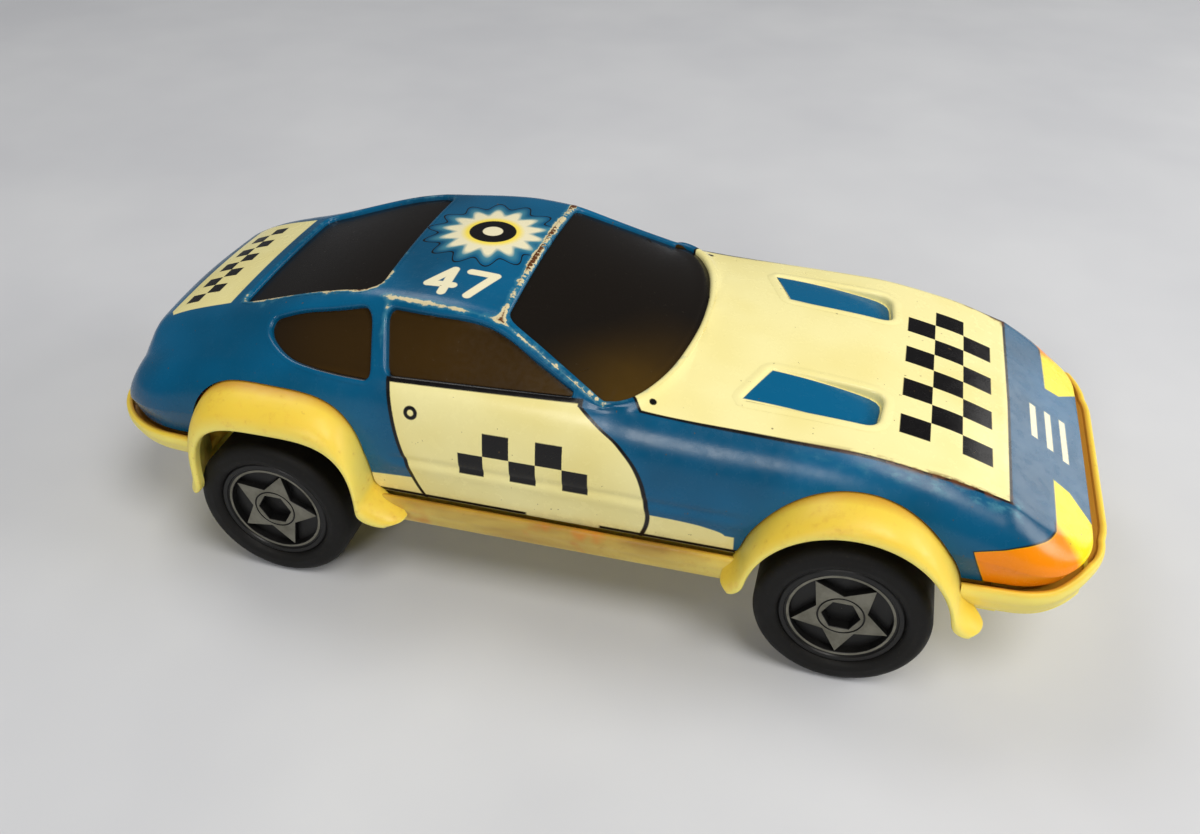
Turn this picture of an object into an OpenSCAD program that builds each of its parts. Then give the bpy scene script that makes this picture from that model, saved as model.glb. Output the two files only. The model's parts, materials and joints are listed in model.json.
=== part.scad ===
// Friction-drive toy police car: a pressed tinplate coupe body over a moulded plastic base.
// Millimetres. +X is the front of the car, +Y its left side, +Z up.
// The origin is on the floor, under the middle of the car.

/* [Overall] */
// Distance between the front and rear axles
wheelbase = 133; // [125:1:142]
// Front axle to the foremost point of the front bumper
front_overhang = 51.2; // [49:0.2:57]
// Rear axle to the rearmost point of the rear bumper
rear_overhang = 47.5; // [45:0.5:53]
// Width of the tin body across its sides
body_w = 88; // [84:0.5:94]
// Width over the lips of the wheel flares
flare_w = 102; // [98:0.5:108]
// Distance between the outer faces of the tyres
track_w = 97; // [94:0.5:99]

/* [Tin body plan] */
// Thickness of the pressed shell
tin_t = 0.6; // [0.4:0.1:1.2]
// How far the tin nose stands behind the bumper
nose_setback = 3; // [1.8:0.2:4]
// How far the tin tail stands ahead of the rear bumper
tail_setback = 2.2; // [1.8:0.2:4]
// Plan radius of the front corners
nose_r = 16; // [13:0.5:18]
// Plan radius of the rear corners
tail_r = 20; // [16:0.5:23]
// Length of the sloping nose ahead of the bonnet
nose_len = 18.7; // [17.5:0.1:22]
// Length of the bonnet on the centre line
bonnet_len = 69; // [62:0.5:75]
// Length of the windscreen in plan
screen_len = 40.5; // [36:0.5:45]
// How far the windscreen base sweeps back to the pillars
screen_sweep = 15.5; // [12:0.5:18]
// Length of the rear window in plan
backlight_len = 37; // [32:0.5:42]
// Length of the boot deck behind the rear window
deck_len = 22.3; // [19:0.2:26]
// How far the tail panel leans back below the deck
tail_rake = 9; // [7:0.5:12]

/* [Tin body heights] */
// Lower edge of the tin between the wheels
sill_z = 27; // [25:0.5:29]
// Lower edge of the tin at the bumpers
end_z = 34.5; // [33:0.25:36]
// Tip of the nose
nose_z = 36.8; // [36:0.2:38]
// Front edge of the bonnet
bonnet_z = 48; // [45:0.5:51]
// Windscreen base on the centre line
screen_z = 59.9; // [58:0.25:62]
// Bottom of the side windows
belt_z = 56.8; // [54:0.25:58]
// Front edge of the roof
header_z = 71.8; // [69:0.2:73]
// Highest point of the roof
roof_z = 72.6; // [71.4:0.2:76]
// Rear edge of the roof
backlight_top_z = 71.4; // [69:0.2:72.4]
// Lower edge of the rear window
backlight_base_z = 60.6; // [58.6:0.2:62.6]
// Rear edge of the boot deck
deck_z = 53.4; // [51.4:0.2:56]

/* [Plastic base] */
// Wall of the base moulding
base_t = 2; // [1.5:0.1:2.5]
// Underside of the sills
skirt_z = 17.5; // [16:0.5:19]
// Underside of the floor
floor_z = 22.5; // [22:0.25:23.5]
// How far the sills stand proud of the tin
sill_out = 0.6; // [0.4:0.1:1.5]
// Height of the feet of the flares
arch_foot_z = 22; // [21:0.25:23]
// Height of the front opening above its feet
front_open_h = 21.3; // [20.5:0.1:22.5]
// Height of the rear opening above its feet
rear_open_h = 21.9; // [21:0.1:23]
// Half the length of the front opening
front_open_half = 21.6; // [21:0.1:23]
// Half the length of the rear opening
rear_open_half = 19.7; // [19.2:0.1:20.4]
// How far the front opening is set ahead of its axle
front_open_shift = 0.35; // [0:0.05:1.5]
// How far the rear opening is set ahead of its axle
rear_open_shift = 3.3; // [2.5:0.1:4]
// Height of the front flare over its feet where it meets the tin
front_flare_h = 26.8; // [25:0.1:28]
// Height of the rear flare over its feet where it meets the tin
rear_flare_h = 29.3; // [27.5:0.1:31]
// Half the length of the front flare beyond its opening
front_foot = 2; // [1.6:0.1:3]
// Half the length of the rear flare beyond its opening
rear_foot = 2.4; // [2:0.1:3]
// How far the rear foot of the rear flare spreads under the bumper
rear_heel = 4; // [1:0.5:5]
// How far the forward foot of the front flare spreads under the bumper
front_shoe = 6; // [3:0.5:8]
// How far the rear foot of the front flare spreads along the sill
front_heel = 3.5; // [0:0.5:6]
// How far the forward foot of the rear flare spreads along the sill
rear_shoe = 11; // [3:0.5:13]

/* [Wheels] */
// Diameter of the tyres
tyre_d = 38; // [36:0.5:39]
// Width of the tyres
tyre_w = 14.5; // [12:0.5:15]
// Diameter of the hubs inside the tyres
hub_d = 27; // [25:0.5:29]
// Depth of the dish in the hub
dish_depth = 2; // [1.6:0.2:4]
// Radius of the dish
dish_r = 11.4; // [10:0.2:12]
// Points of the star spokes
star_points = 5; // [4:1:7]
// Diameter of the axles
axle_d = 3; // [2.5:0.1:3.5]
// Radial play between a shaft and its bore
shaft_play = 0.05; // [0.02:0.01:0.1]

/* [Friction motor] */
// Space between the motor side plates
motor_gap = 18; // [17:0.5:20]
// Thickness of the motor side plates
plate_t = 1; // [0.8:0.1:1.5]
// Module of the gears
gear_module = 0.6; // [0.55:0.01:0.62]
// Teeth on the two large gears
gear_teeth = 36; // [33:1:37]
// Teeth on the two pinions
pinion_teeth = 12; // [11:1:13]
// Face width of the gears
gear_w = 3; // [2.5:0.1:3.5]
// Diameter of the flywheel
flywheel_d = 25; // [22:0.5:26]
// Thickness of the flywheel
flywheel_w = 5; // [4:0.1:5.5]
// Diameter of the idler and flywheel shafts
shaft_d = 2; // [1.6:0.1:2.4]

/* [Hidden] */
$fn = 48;

// Places along the car
length_all = front_overhang + wheelbase + rear_overhang;
x_rear = rear_overhang - length_all / 2;
x_front = x_rear + wheelbase;
x_lip_front = x_front + front_overhang;
x_lip_rear = x_rear - rear_overhang;
x_nose = x_lip_front - nose_setback;
x_tail = x_lip_rear + tail_setback;
x_bonnet = x_nose - nose_len;
x_screen = x_bonnet - bonnet_len;
x_pillar = x_screen - screen_sweep;
x_header = x_screen - screen_len;
x_deck = x_tail + tail_rake;
x_back_low = x_deck + deck_len;
x_back_top = x_back_low + backlight_len;
half_w = body_w / 2;
axle_z = tyre_d / 2;

// Smooth curves through knots [place, value, kink]: a knot with kink 1 keeps a corner there
function mix(a, b, t) = a + (b - a) * t;
function secant(k, i) = (k[i + 1][1] - k[i][1]) / (k[i + 1][0] - k[i][0]);
function mean_slope(a, b) = a * b <= 0 ? 0 : 2 * a * b / (a + b);
function knot_slope(k, i, after) =
    i == 0 ? secant(k, 0)
    : i == len(k) - 1 ? secant(k, i - 1)
    : k[i][2] == 1 ? secant(k, after ? i : i - 1)
    : mean_slope(secant(k, i - 1), secant(k, i));
function span_at(k, x, i = 0) = i >= len(k) - 2 || x < k[i + 1][0] ? i : span_at(k, x, i + 1);
function hermite(p, q, m, n, t) =
    p * (1 + 2 * t) * (1 - t) ^ 2 + m * t * (1 - t) ^ 2
    + q * t * t * (3 - 2 * t) - n * t * t * (1 - t);
function curve(k, x) =
    let (i = span_at(k, x), h = k[i + 1][0] - k[i][0])
    hermite(k[i][1], k[i + 1][1], knot_slope(k, i, true) * h, knot_slope(k, i + 1, false) * h,
        min(1, max(0, (x - k[i][0]) / h)));
function bezier(a, b, c, t) = a * (1 - t) ^ 2 + b * 2 * t * (1 - t) + c * t * t;

// Half the plan width of a rounded rectangle from x0 to x1
function plan_half(x, x0, x1, w, r0, r1) =
    x < x0 + r0 ? w - r0 + sqrt(max(0, r0 ^ 2 - (x0 + r0 - x) ^ 2))
    : x > x1 - r1 ? w - r1 + sqrt(max(0, r1 ^ 2 - (x - x1 + r1) ^ 2))
    : w;
function tin_half(x) = plan_half(x, x_tail, x_nose, half_w, tail_r, nose_r);

// Lines that shape the tin body
screen_bow = 0.7;
bonnet_bow = 3;
edge_bow = 3.4;
bonnet_fall = 0.78;
fall_share = 0.83;
deck_round = 3.5;
centre_line = [
    [x_tail, end_z + 0.4, 0], [x_deck - deck_round, deck_z - 0.9 * deck_round, 0], [x_deck, deck_z, 0],
    [x_back_low, backlight_base_z, 0], [x_back_top, backlight_top_z, 0],
    [mix(x_back_top, x_header, 0.5), roof_z, 0], [x_header, header_z, 1],
    [mix(x_header, x_screen, 0.5), mix(header_z, screen_z, 0.5) + screen_bow, 0], [x_screen, screen_z, 1],
    [mix(x_screen, x_bonnet, 0.5), mix(screen_z, bonnet_z, 0.5) + bonnet_bow, 0],
    [mix(x_screen, x_bonnet, bonnet_fall), mix(screen_z, bonnet_z, bonnet_fall) + fall_share * bonnet_bow, 0],
    [x_bonnet, bonnet_z, 1], [x_nose, nose_z, 0]];
scuttle_z = belt_z - 0.6;
lower_line = [
    [x_tail, end_z, 0], [x_rear - 16, end_z - 1, 0], [x_rear + 12, sill_z, 1],
    [x_front - 12, sill_z, 1], [x_front + 16, end_z - 3.4, 0], [x_nose - 8, end_z - 2.2, 0],
    [x_nose, end_z + 1.5, 0]];
shoulder_line = [
    [x_tail, end_z + 0.2, 0], [mix(x_tail, x_deck, 0.5), mix(end_z, deck_z, 0.4), 0],
    [x_deck, mix(end_z, deck_z, 0.68), 0], [x_back_low, belt_z - 3, 0], [x_back_top, belt_z, 0],
    [x_pillar, belt_z, 0], [x_screen, scuttle_z, 0],
    [mix(x_screen, x_bonnet, 0.5), mix(scuttle_z, bonnet_z, 0.5) + edge_bow, 0],
    [mix(x_screen, x_bonnet, bonnet_fall), mix(scuttle_z, bonnet_z, bonnet_fall) + fall_share * edge_bow, 0],
    [x_bonnet, bonnet_z - 0.1, 1], [x_nose, nose_z - 0.3, 0]];
shoulder_inset = [
    [x_tail, 2, 0], [mix(x_tail, x_deck, 0.45), 7, 0], [x_deck, 8.5, 0], [x_back_low, 6, 0],
    [x_back_top, 4, 0], [x_pillar - 3, 5, 0], [x_pillar + 8, 6.5, 0], [x_bonnet, 7.9, 0], [x_nose - 6, 7, 0],
    [x_nose, 2, 0]];
rail_half = [
    [x_tail, 18, 0], [mix(x_tail, x_deck, 0.45), 22, 0], [x_deck, 25, 0], [x_back_low, 25.8, 0],
    [x_back_top, 27, 0], [mix(x_back_top, x_header, 0.6), 28.8, 0], [x_header, 29.4, 1],
    [x_pillar, half_w - 5.5, 0]];
rail_line = [
    [x_tail, end_z + 0.3, 0], [mix(x_tail, x_deck, 0.45), mix(end_z, deck_z, 0.52), 0],
    [x_deck, deck_z - 1.2, 0], [x_back_low, backlight_base_z - 0.9, 0],
    [x_back_top, backlight_top_z - 1.4, 0],
    [mix(x_back_top, x_header, 0.6), roof_z - 1.9, 0], [x_header, header_z - 2.1, 1],
    [x_pillar, belt_z + 0.7, 0]];

// Inner edge of the shoulder panel: roof rail, windscreen base or a line on the bonnet
function screen_edge(x) = sqrt(max(0, 1 - ((x - x_pillar) / screen_sweep) ^ 2));
function rail_at(x) =
    x <= x_pillar ? [curve(rail_half, x), curve(rail_line, x)]
    : x < x_screen ? let (s = max(0.04, screen_edge(x)))
        [s * (half_w - 5.5), mix(screen_z, belt_z + 0.7, s * s)]
    : let (s = min(0.5, 0.04 + (x - x_screen) / 20), c = curve(centre_line, x), e = curve(shoulder_line, x))
        [s * (tin_half(x) - curve(shoulder_inset, x)), mix(c, e, s * s)];

// Right half of a body section, from the lower edge up to the centre line
tuck = 1.8;
crease_share = 0.386;
shoulder_lift = 0.28;
rail_round = 3;
function body_half(x) =
    let (w = tin_half(x),
        zb = curve(lower_line, x),
        zs = max(zb + 0.2, curve(shoulder_line, x)),
        crease = [w, mix(zb, zs, crease_share)],
        shoulder = [w - curve(shoulder_inset, x), zs],
        rail = rail_at(x),
        top = [0, curve(centre_line, x)],
        run = norm(rail - shoulder),
        near = mix(rail, shoulder, min(0.45, rail_round / max(run, 0.01))),
        over = rail[0] - min(rail_round, 0.3 * rail[0]),
        past = [over, mix(top[1], rail[1], (over / rail[0]) ^ 2)])
    concat(
        [[w - min(tuck, 0.4 * (zs - zb)), zb]],
        [for (i = [0:3]) bezier(crease, [w, mix(zs, crease[1], shoulder_lift)], shoulder, i / 4)],
        [for (i = [0:1]) mix(shoulder, near, i / 2)],
        [for (i = [0:1]) bezier(near, rail, past, i / 2)],
        [for (i = [0:4]) let (y = over * (1 - i / 4)) [y, mix(top[1], rail[1], (y / rail[0]) ^ 2)]]);

// A closed loft from half sections: faces run clockwise seen from outside
function full_ring(x, half) = concat(
    [for (p = half) [x, -p[0], p[1]]],
    [for (i = [len(half) - 2:-1:0]) [x, half[i][0], half[i][1]]]);
function grid_faces(rows, m) = [
    for (i = [0:rows - 2]) for (j = [0:m - 1])
        let (a = i * m + j, b = i * m + (j + 1) % m)
        each [[a, b, a + m], [b, b + m, a + m]]];
module ring_loft(rings) {
    m = len(rings[0]);
    n = len(rings);
    polyhedron(
        points = [for (r = rings) each r],
        faces = concat(
            grid_faces(n, m),
            [[for (j = [m - 1:-1:0]) j]],
            [[for (j = [0:m - 1]) (n - 1) * m + j]]),
        convexity = 8);
}
function run_of(a, b, step) = let (n = max(1, ceil((b - a) / step))) [for (i = [0:n - 1]) mix(a, b, i / n)];
corner_steps = 7;
station_step = 7;
body_stations = concat(
    [for (i = [0:corner_steps - 1]) x_tail + tail_r * (1 - cos(90 * i / corner_steps))],
    run_of(x_tail + tail_r, x_back_top, station_step),
    run_of(x_back_top, x_header, station_step),
    run_of(x_header, x_pillar, station_step),
    [for (i = [0:5]) x_pillar + screen_sweep * sin(15 * i)],
    run_of(x_screen, x_bonnet, station_step),
    run_of(x_bonnet, x_nose - nose_r, station_step),
    [for (i = [0:corner_steps]) x_nose - nose_r * (1 - sin(90 * i / corner_steps))]);
module body_solid(inset = 0) {
    middle = mix(x_tail, x_nose, 0.5);
    translate([middle, 0, -inset])
    scale([1 - 2 * inset / (x_nose - x_tail), 1 - 2 * inset / body_w, 1])
    translate([-middle, 0, 0])
    ring_loft([for (x = body_stations) full_ring(x, body_half(x))]);
}

// Window openings: side windows as [place, height], screens as [place, half width]
window_r = 1.4;
side_drop = 2;
pillar_x = x_back_top + 4;
function window_top(x) = curve(rail_line, x) - side_drop;
door_window = [
    [pillar_x - 0.6, window_top(pillar_x - 0.6)], [x_header - 3, header_z - 2.9],
    [x_pillar - 6, belt_z + 2], [pillar_x + 2.4, belt_z + 1.1]];
quarter_window = [
    [x_back_low + 10.4, belt_z + 3.6], [x_back_low + 19, belt_z + 7],
    [pillar_x - 4.2, window_top(pillar_x - 4.2)],
    [pillar_x - 1.2, belt_z - 0.4], [pillar_x - 12, belt_z - 0.2], [x_back_low + 18, belt_z + 0.8]];
screen_rim = 1.2;
screen_window = concat(
    [[x_header + screen_rim, 27.6], [x_pillar - 0.4, half_w - 7.3]],
    [for (i = [1:6]) [x_pillar + (screen_sweep - screen_rim) * sin(15 * i), (half_w - 7.3) * cos(15 * i)]]);
back_window = [[x_back_low + 0.3, 22.8], [x_back_top - 3.4, 25], [x_back_top - 0.4, 22.8]];
module mirrored_plan(pts) {
    polygon(concat(pts, [for (i = [len(pts) - 1:-1:0]) [pts[i][0], -pts[i][1]]]));
}
module window_cuts() {
    for (outline = [door_window, quarter_window])
        rotate([90, 0, 0]) linear_extrude(2 * body_w, center = true)
        offset(window_r) offset(-window_r) polygon(outline);
    for (outline = [screen_window, back_window])
        translate([0, 0, belt_z]) linear_extrude(roof_z)
        offset(window_r) offset(-window_r) mirrored_plan(outline);
}

// Two pressed-in vents on the bonnet, flush at the back and deeper at the front
vent_depth = 2.4;
vent_front = 27.5;
vent_len_in = 24.5;
vent_len_out = 28.3;
vent_lean = 1;
vent_y_in = 15.6;
vent_y_out = 27.5;
vent_sink = 0.15;
vent_wall = 0.8;
vent_reach = 12;
vent_plan = [
    [x_bonnet - vent_front - vent_len_in, vent_y_in], [x_bonnet - vent_front, vent_y_in],
    [x_bonnet - vent_front - vent_lean, vent_y_out],
    [x_bonnet - vent_front - vent_lean - vent_len_out, vent_y_out]];
function bonnet_top(x, y) =
    let (c = curve(centre_line, x), e = curve(shoulder_line, x),
        w = tin_half(x) - curve(shoulder_inset, x))
    mix(c, e, (y / w) ^ 2);
function vent_share(x) = (x - vent_plan[3][0]) / (vent_plan[1][0] - vent_plan[3][0]);
function vent_floor(p) = bonnet_top(p[0], p[1]) - vent_depth * vent_share(p[0]) - vent_sink;
module vent_block(drop, height) {
    corners = [for (p = vent_plan) [p[0], p[1], vent_floor(p) - drop]];
    hull() polyhedron(
        points = concat(corners, [for (c = corners) c + [0, 0, height]]),
        faces = [[0, 3, 2, 1], [4, 5, 6, 7], [0, 1, 5, 4], [1, 2, 6, 5], [2, 3, 7, 6], [3, 0, 4, 7]]);
}

// Wheel flares: an outer arch on the tin and a lip arch round the opening
front_root_shift = 0.4;
rear_root_shift = 0.85;
flare_y = flare_w / 2;
flare_root_y = half_w - 3.6;
flare_skin = 1.4;
shoe_h = 8;
function sgn_pow(v, p) = sign(v) * abs(v) ^ p;
// A curve is [place, half length, height over the feet, power]; an arch is [opening, root, shoe, heel]
front_open = [x_front + front_open_shift, front_open_half, front_open_h, 2];
front_root = [front_open[0] - front_root_shift, front_open_half + front_foot, front_flare_h, 2.07];
front_arch = [front_open, front_root, front_shoe, front_heel];
rear_open = [x_rear + rear_open_shift, rear_open_half, rear_open_h, 3.5];
rear_root = [rear_open[0] - rear_root_shift, rear_open_half + rear_foot, rear_flare_h, 3.6];
rear_arch = [rear_open, rear_root, rear_shoe, rear_heel];
function arch_point(c, grow, a) =
    let (x = sgn_pow(cos(a), 2 / c[3]), z = abs(sin(a)) ^ (2 / c[3]))
    [c[0] + (c[1] + grow) * x, arch_foot_z + (c[2] + grow) * z];
function lip_at(arch, grow, a) = arch_point(arch[0], grow, a);
function shoe(arch, z, a) = (cos(a) > 0 ? arch[2] : -arch[3]) * max(0, 1 - (z - arch_foot_z) / shoe_h) ^ 2;
function root_at(arch, grow, a) =
    let (p = arch_point(arch[1], grow, a))
    [p[0] + shoe(arch, p[1], a), p[1]];
arch_steps = 30;
function arch_angle(i) = 90 * (1 + cos(180 * i / arch_steps));
dome_steps = 4;
function flare_ring(arch, a) =
    let (root = root_at(arch, 0, a), lip = lip_at(arch, 0, a), brow = lip_at(arch, 0.8, a),
        thin = mix(root, lip, mix(0.4, 0.2, sin(a))), brow_in = mix(lip, root, mix(0.6, 0.15, sin(a))),
        back_y = flare_y - flare_skin)
    concat(
        [for (i = [0:dome_steps]) let (t = 90 * i / dome_steps, p = mix(root, brow, 1 - cos(t)))
            [p[0], mix(flare_root_y, flare_y, sin(t)), p[1]]],
        [[lip[0], flare_y - 0.5, lip[1]], [lip[0], back_y - 1, lip[1]], [brow_in[0], back_y - 1, brow_in[1]]],
        [for (i = [1:2]) let (t = 45 * (2 - i), p = mix(thin, brow_in, 1 - cos(t)))
            [p[0], mix(flare_root_y, back_y - 1, sin(t)), p[1]]]);
module flare(arch) {
    ring_loft([for (i = [0:arch_steps]) flare_ring(arch, arch_angle(i))]);
}
module all_flares() {
    for (side = [0, 1]) mirror([0, side, 0]) {
        flare(front_arch);
        flare(rear_arch);
    }
}
tin_gap = 0.2;
function with_foot(c, grow, points) =
    concat(points, [[c[0] + c[1] + grow, 0], [c[0] - c[1] - grow, 0]]);
function root_outline(arch, grow) = with_foot(arch[1], grow,
    [for (i = [0:arch_steps]) root_at(arch, grow, arch_angle(i))]);
// Wells that the wheels turn in
well_room = 3.7;
rear_well_shift = 2.6;
well_over = 5.2;
function well_outline(x) =
    let (c = [x, tyre_d / 2 + well_room, tyre_d + well_over - arch_foot_z, 2.2])
    with_foot(c, 0, [for (i = [0:arch_steps]) arch_point(c, 0, arch_angle(i))]);
module arch_cut(outline, y_from) {
    for (side = [0, 1]) mirror([0, side, 0])
        translate([0, body_w, 0]) rotate([90, 0, 0]) linear_extrude(body_w - y_from) polygon(outline);
}
well_y = track_w / 2 - tyre_w - 3;

module body_shell() {
    color("steelblue") resize([0, 0, 0]) difference() {
        union() {
            difference() {
                body_solid();
                body_solid(tin_t);
                window_cuts();
            }
            intersection() {
                body_solid();
                for (side = [0, 1]) mirror([0, side, 0]) minkowski() {
                    vent_block(tin_t, vent_reach);
                    cube([2 * vent_wall, 2 * vent_wall, 0.01], center = true);
                }
            }
        }
        for (side = [0, 1]) mirror([0, side, 0]) vent_block(0, vent_reach);
        for (arch = [front_arch, rear_arch]) arch_cut(root_outline(arch, tin_gap), well_y);
    }
}

// Tinted glazing: one moulding behind all six openings, with four screw posts
glass_t = 1.2;
glass_gap = 0.15;
glass_low = 2.4;
post_r = 3;
post_rear_in = 14;
post_front_in = 8;
post_rear_y = 26;
post_front_y = 29;
post_x = [x_back_top + post_rear_in, x_pillar - post_front_in];
post_y = [post_rear_y, post_front_y];
screw_r = 1.2;
screw_play = 0.15;
screw_bite = 8;
floor_top = floor_z + base_t;
seat_gap = 0.05;
module window_insert() {
    color("saddlebrown") resize([0, 0, 0]) difference() {
        union() {
            difference() {
                body_solid(tin_t + glass_gap);
                body_solid(tin_t + glass_gap + glass_t);
            }
            intersection() {
                body_solid(tin_t + glass_gap + 0.1);
                screw_places() translate([0, 0, floor_top + seat_gap]) cylinder(r = post_r, h = roof_z);
            }
        }
        screw_places() screw_hole(floor_top, screw_bite);
        glass_trim();
    }
}
module glass_trim() {
    edge = [
        [x_back_low - 4, 30], [x_back_low + 8, body_w], [x_pillar + 1, body_w], [x_pillar + 3, half_w - 5],
        [x_screen - 5, half_w - 22], [x_screen + 3, 8]];
    difference() {
        translate([x_tail - 5, -body_w, -1]) cube([length_all, 2 * body_w, roof_z + 10]);
        translate([0, 0, belt_z - glass_low]) linear_extrude(roof_z) mirrored_plan(edge);
        screw_places() cylinder(r = post_r + 0.5, h = roof_z);
    }
}

// Base moulding: bumpers, sills and floor as one tub
base_out = half_w + sill_out;
bumper_front_r = nose_r + 2;
bumper_rear_r = tail_r + 1;
keel_line = [
    [x_lip_rear, end_z - 3, 0], [x_lip_rear + 2.5, end_z - 5.5, 0], [x_lip_rear + 9, end_z - 7.2, 0],
    [x_rear - 22, end_z - 8, 0], [x_rear - 12, skirt_z, 1], [x_front + 12, skirt_z, 1],
    [x_front + 24, end_z - 11.4, 0], [x_lip_front - 13, end_z - 10.8, 0], [x_lip_front - 4, end_z - 8.3, 0],
    [x_lip_front - 1, end_z - 5, 0], [x_lip_front, end_z - 2.5, 0]];
lip_line = [
    [x_lip_rear, end_z - 0.5, 0], [x_tail, end_z - 0.2, 1], [x_rear - 16, end_z - 1.2, 0],
    [x_rear + 12, sill_z - 0.15, 1], [x_front - 12, sill_z - 0.15, 1], [x_front + 16, end_z - 3.6, 0],
    [x_nose - 8, end_z - 2.4, 0], [x_nose, end_z + 1.3, 1], [x_lip_front, end_z + 0.4, 0]];
function base_half(x) =
    let (w = plan_half(x, x_lip_rear, x_lip_front, base_out, bumper_rear_r, bumper_front_r),
        low = curve(keel_line, x), lip = curve(lip_line, x), mid = mix(lip, low, 0.3),
        flat = w - min(4.2, 0.62 * (lip - low)))
    [[0, low], [flat, low], [mix(flat, w, 0.62), mix(low, mid, 0.3)], [w - 0.3, mix(low, mid, 0.75)],
    [w, mid], [w - 0.2, mix(mid, lip, 0.7)], [w - 0.9, lip], [0, lip]];
base_stations = concat(
    [for (i = [0:corner_steps - 1]) x_lip_rear + bumper_rear_r * (1 - cos(90 * i / corner_steps))],
    run_of(x_lip_rear + bumper_rear_r, x_lip_front - bumper_front_r, 8),
    [for (i = [0:corner_steps]) x_lip_front - bumper_front_r * (1 - sin(90 * i / corner_steps))]);
function tub_ring(x, half) = concat(
    [for (i = [1:len(half) - 2]) [x, -half[i][0], half[i][1]]],
    [for (i = [len(half) - 2:-1:1]) [x, half[i][0], half[i][1]]]);
module tub_solid() {
    ring_loft([for (x = base_stations) tub_ring(x, base_half(x))]);
}
bay_wall = 3.2;
bay_front = nose_setback + 3;
bay_rear = tail_setback + 3;
module plan_pad(x0, x1, w, r, z, h) {
    translate([0, 0, z]) linear_extrude(h) hull() for (x = [x0 + r, x1 - r]) for (y = [-1, 1])
        translate([x, y * (w - r)]) circle(r, $fn = 32);
}
motor_bay_front = 40;
motor_bay_rear = 16;
motor_bay_play = 0.6;
motor_bay_half = motor_gap / 2 + plate_t + motor_bay_play;
// Raised blank panel under the floor, lower than the screw heads
panel_x = 50;
panel_y = 36;
panel_drop = 2.5;
panel_at = mix(x_rear, x_front, 0.62);
module chassis_base() {
    color("khaki") resize([0, 0, 0]) difference() {
        union() {
            translate([panel_at - panel_x / 2, -panel_y / 2, floor_z - panel_drop])
                cube([panel_x, panel_y, panel_drop + base_t / 2]);
            difference() {
                union() {
                    difference() {
                        tub_solid();
                        plan_pad(x_tail + bay_rear, x_nose - bay_front, half_w - bay_wall, nose_r,
                            floor_top, roof_z);
                        plan_pad(x_tail + 16, x_nose - 22, half_w - bay_wall - 2, 10, 0, floor_z);
                    }
                    end_pan(x_lip_rear + pan_in, x_rear - pan_lap);
                    end_pan(x_front + pan_reach, x_lip_front - pan_in);
                }
                arch_cut(well_outline(x_front), well_y);
                arch_cut(well_outline(x_rear + rear_well_shift), well_y);
            }
            all_flares();
        }
        translate([x_rear - motor_bay_rear, -motor_bay_half, 0])
            cube([motor_bay_rear + motor_bay_front, 2 * motor_bay_half, roof_z]);
        for (x = [x_front, x_rear]) axle_slot(x);
        screw_places() screw_hole(floor_z, base_t);
        carrier_places() screw_hole(floor_z, base_t);
        foot_places() screw_hole(floor_z, base_t);
    }
}
// Floor ends that climb to the bumpers
pan_in = 4;
pan_lap = motor_bay_rear + 0.5;
pan_reach = 30;
pan_step = 4;
function pan_ring(x) =
    let (z = max(floor_z, curve(keel_line, x)),
        w = plan_half(x, x_lip_rear, x_lip_front, base_out, bumper_rear_r, bumper_front_r) - bay_wall)
    [[x, -w, z], [x, -w, z + base_t], [x, w, z + base_t], [x, w, z]];
module end_pan(x0, x1) {
    ring_loft([for (x = concat(run_of(x0, x1, pan_step), [x1])) pan_ring(x)]);
}
// Keeps the base clear of an axle at any track
axle_room = 0.5;
module axle_slot(x) {
    translate([x - axle_r - axle_room, -body_w, 0])
        cube([2 * (axle_r + axle_room), 2 * body_w, axle_z + axle_r + axle_room]);
}
module screw_hole(z, depth) {
    translate([0, 0, z - 1]) cylinder(r = screw_r + screw_play, h = depth + 2);
}
module screw_places() {
    for (side = [-1, 1]) for (i = [0, 1]) translate([post_x[i], side * post_y[i], 0]) children();
}

// Round-head screw with its seat at z = 0, head below, shank upward
head_r = 2.4;
head_h = 1.6;
slot_w = 0.6;
slot_depth = 0.7;
screw_tip = 1.5;
module screw(shank) {
    translate([0, 0, -head_h]) difference() {
        cylinder(r = head_r, h = head_h);
        translate([-head_r, -slot_w / 2, -1]) cube([2 * head_r, slot_w, slot_depth + 1]);
    }
    cylinder(r = screw_r, h = shank);
}
module body_screws() {
    color("silver") screw_places() translate([0, 0, floor_z]) screw(base_t + screw_bite);
}

// Front axle and its carrier under the floor
axle_r = axle_d / 2;
hub_face = 1;
hub_in_y = track_w / 2 - tyre_w + hub_face;
axle_stop = 1.5;
axle_end_y = track_w / 2 - hub_face - dish_depth - axle_stop;
carrier_half = 24;
carrier_cheek = 5;
carrier_len = 16;
cheek_len = 10;
carrier_plate = 2;
carrier_drop = 4.5;
carrier_pitch = 18;
carrier_stagger = 5.2;
module carrier_places() {
    for (side = [-1, 1])
        translate([x_front + side * carrier_stagger, side * carrier_pitch / 2, 0]) children();
}
module y_shaft(x, z, r, y0, y1) {
    translate([x, y1, z]) rotate([90, 0, 0]) cylinder(r = r, h = y1 - y0);
}
module front_axle() {
    color("silver") y_shaft(x_front, axle_z, axle_r, -axle_end_y, axle_end_y);
}
module rear_axle() {
    color("silver") y_shaft(x_rear, axle_z, axle_r, -axle_end_y, axle_end_y);
}
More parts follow.
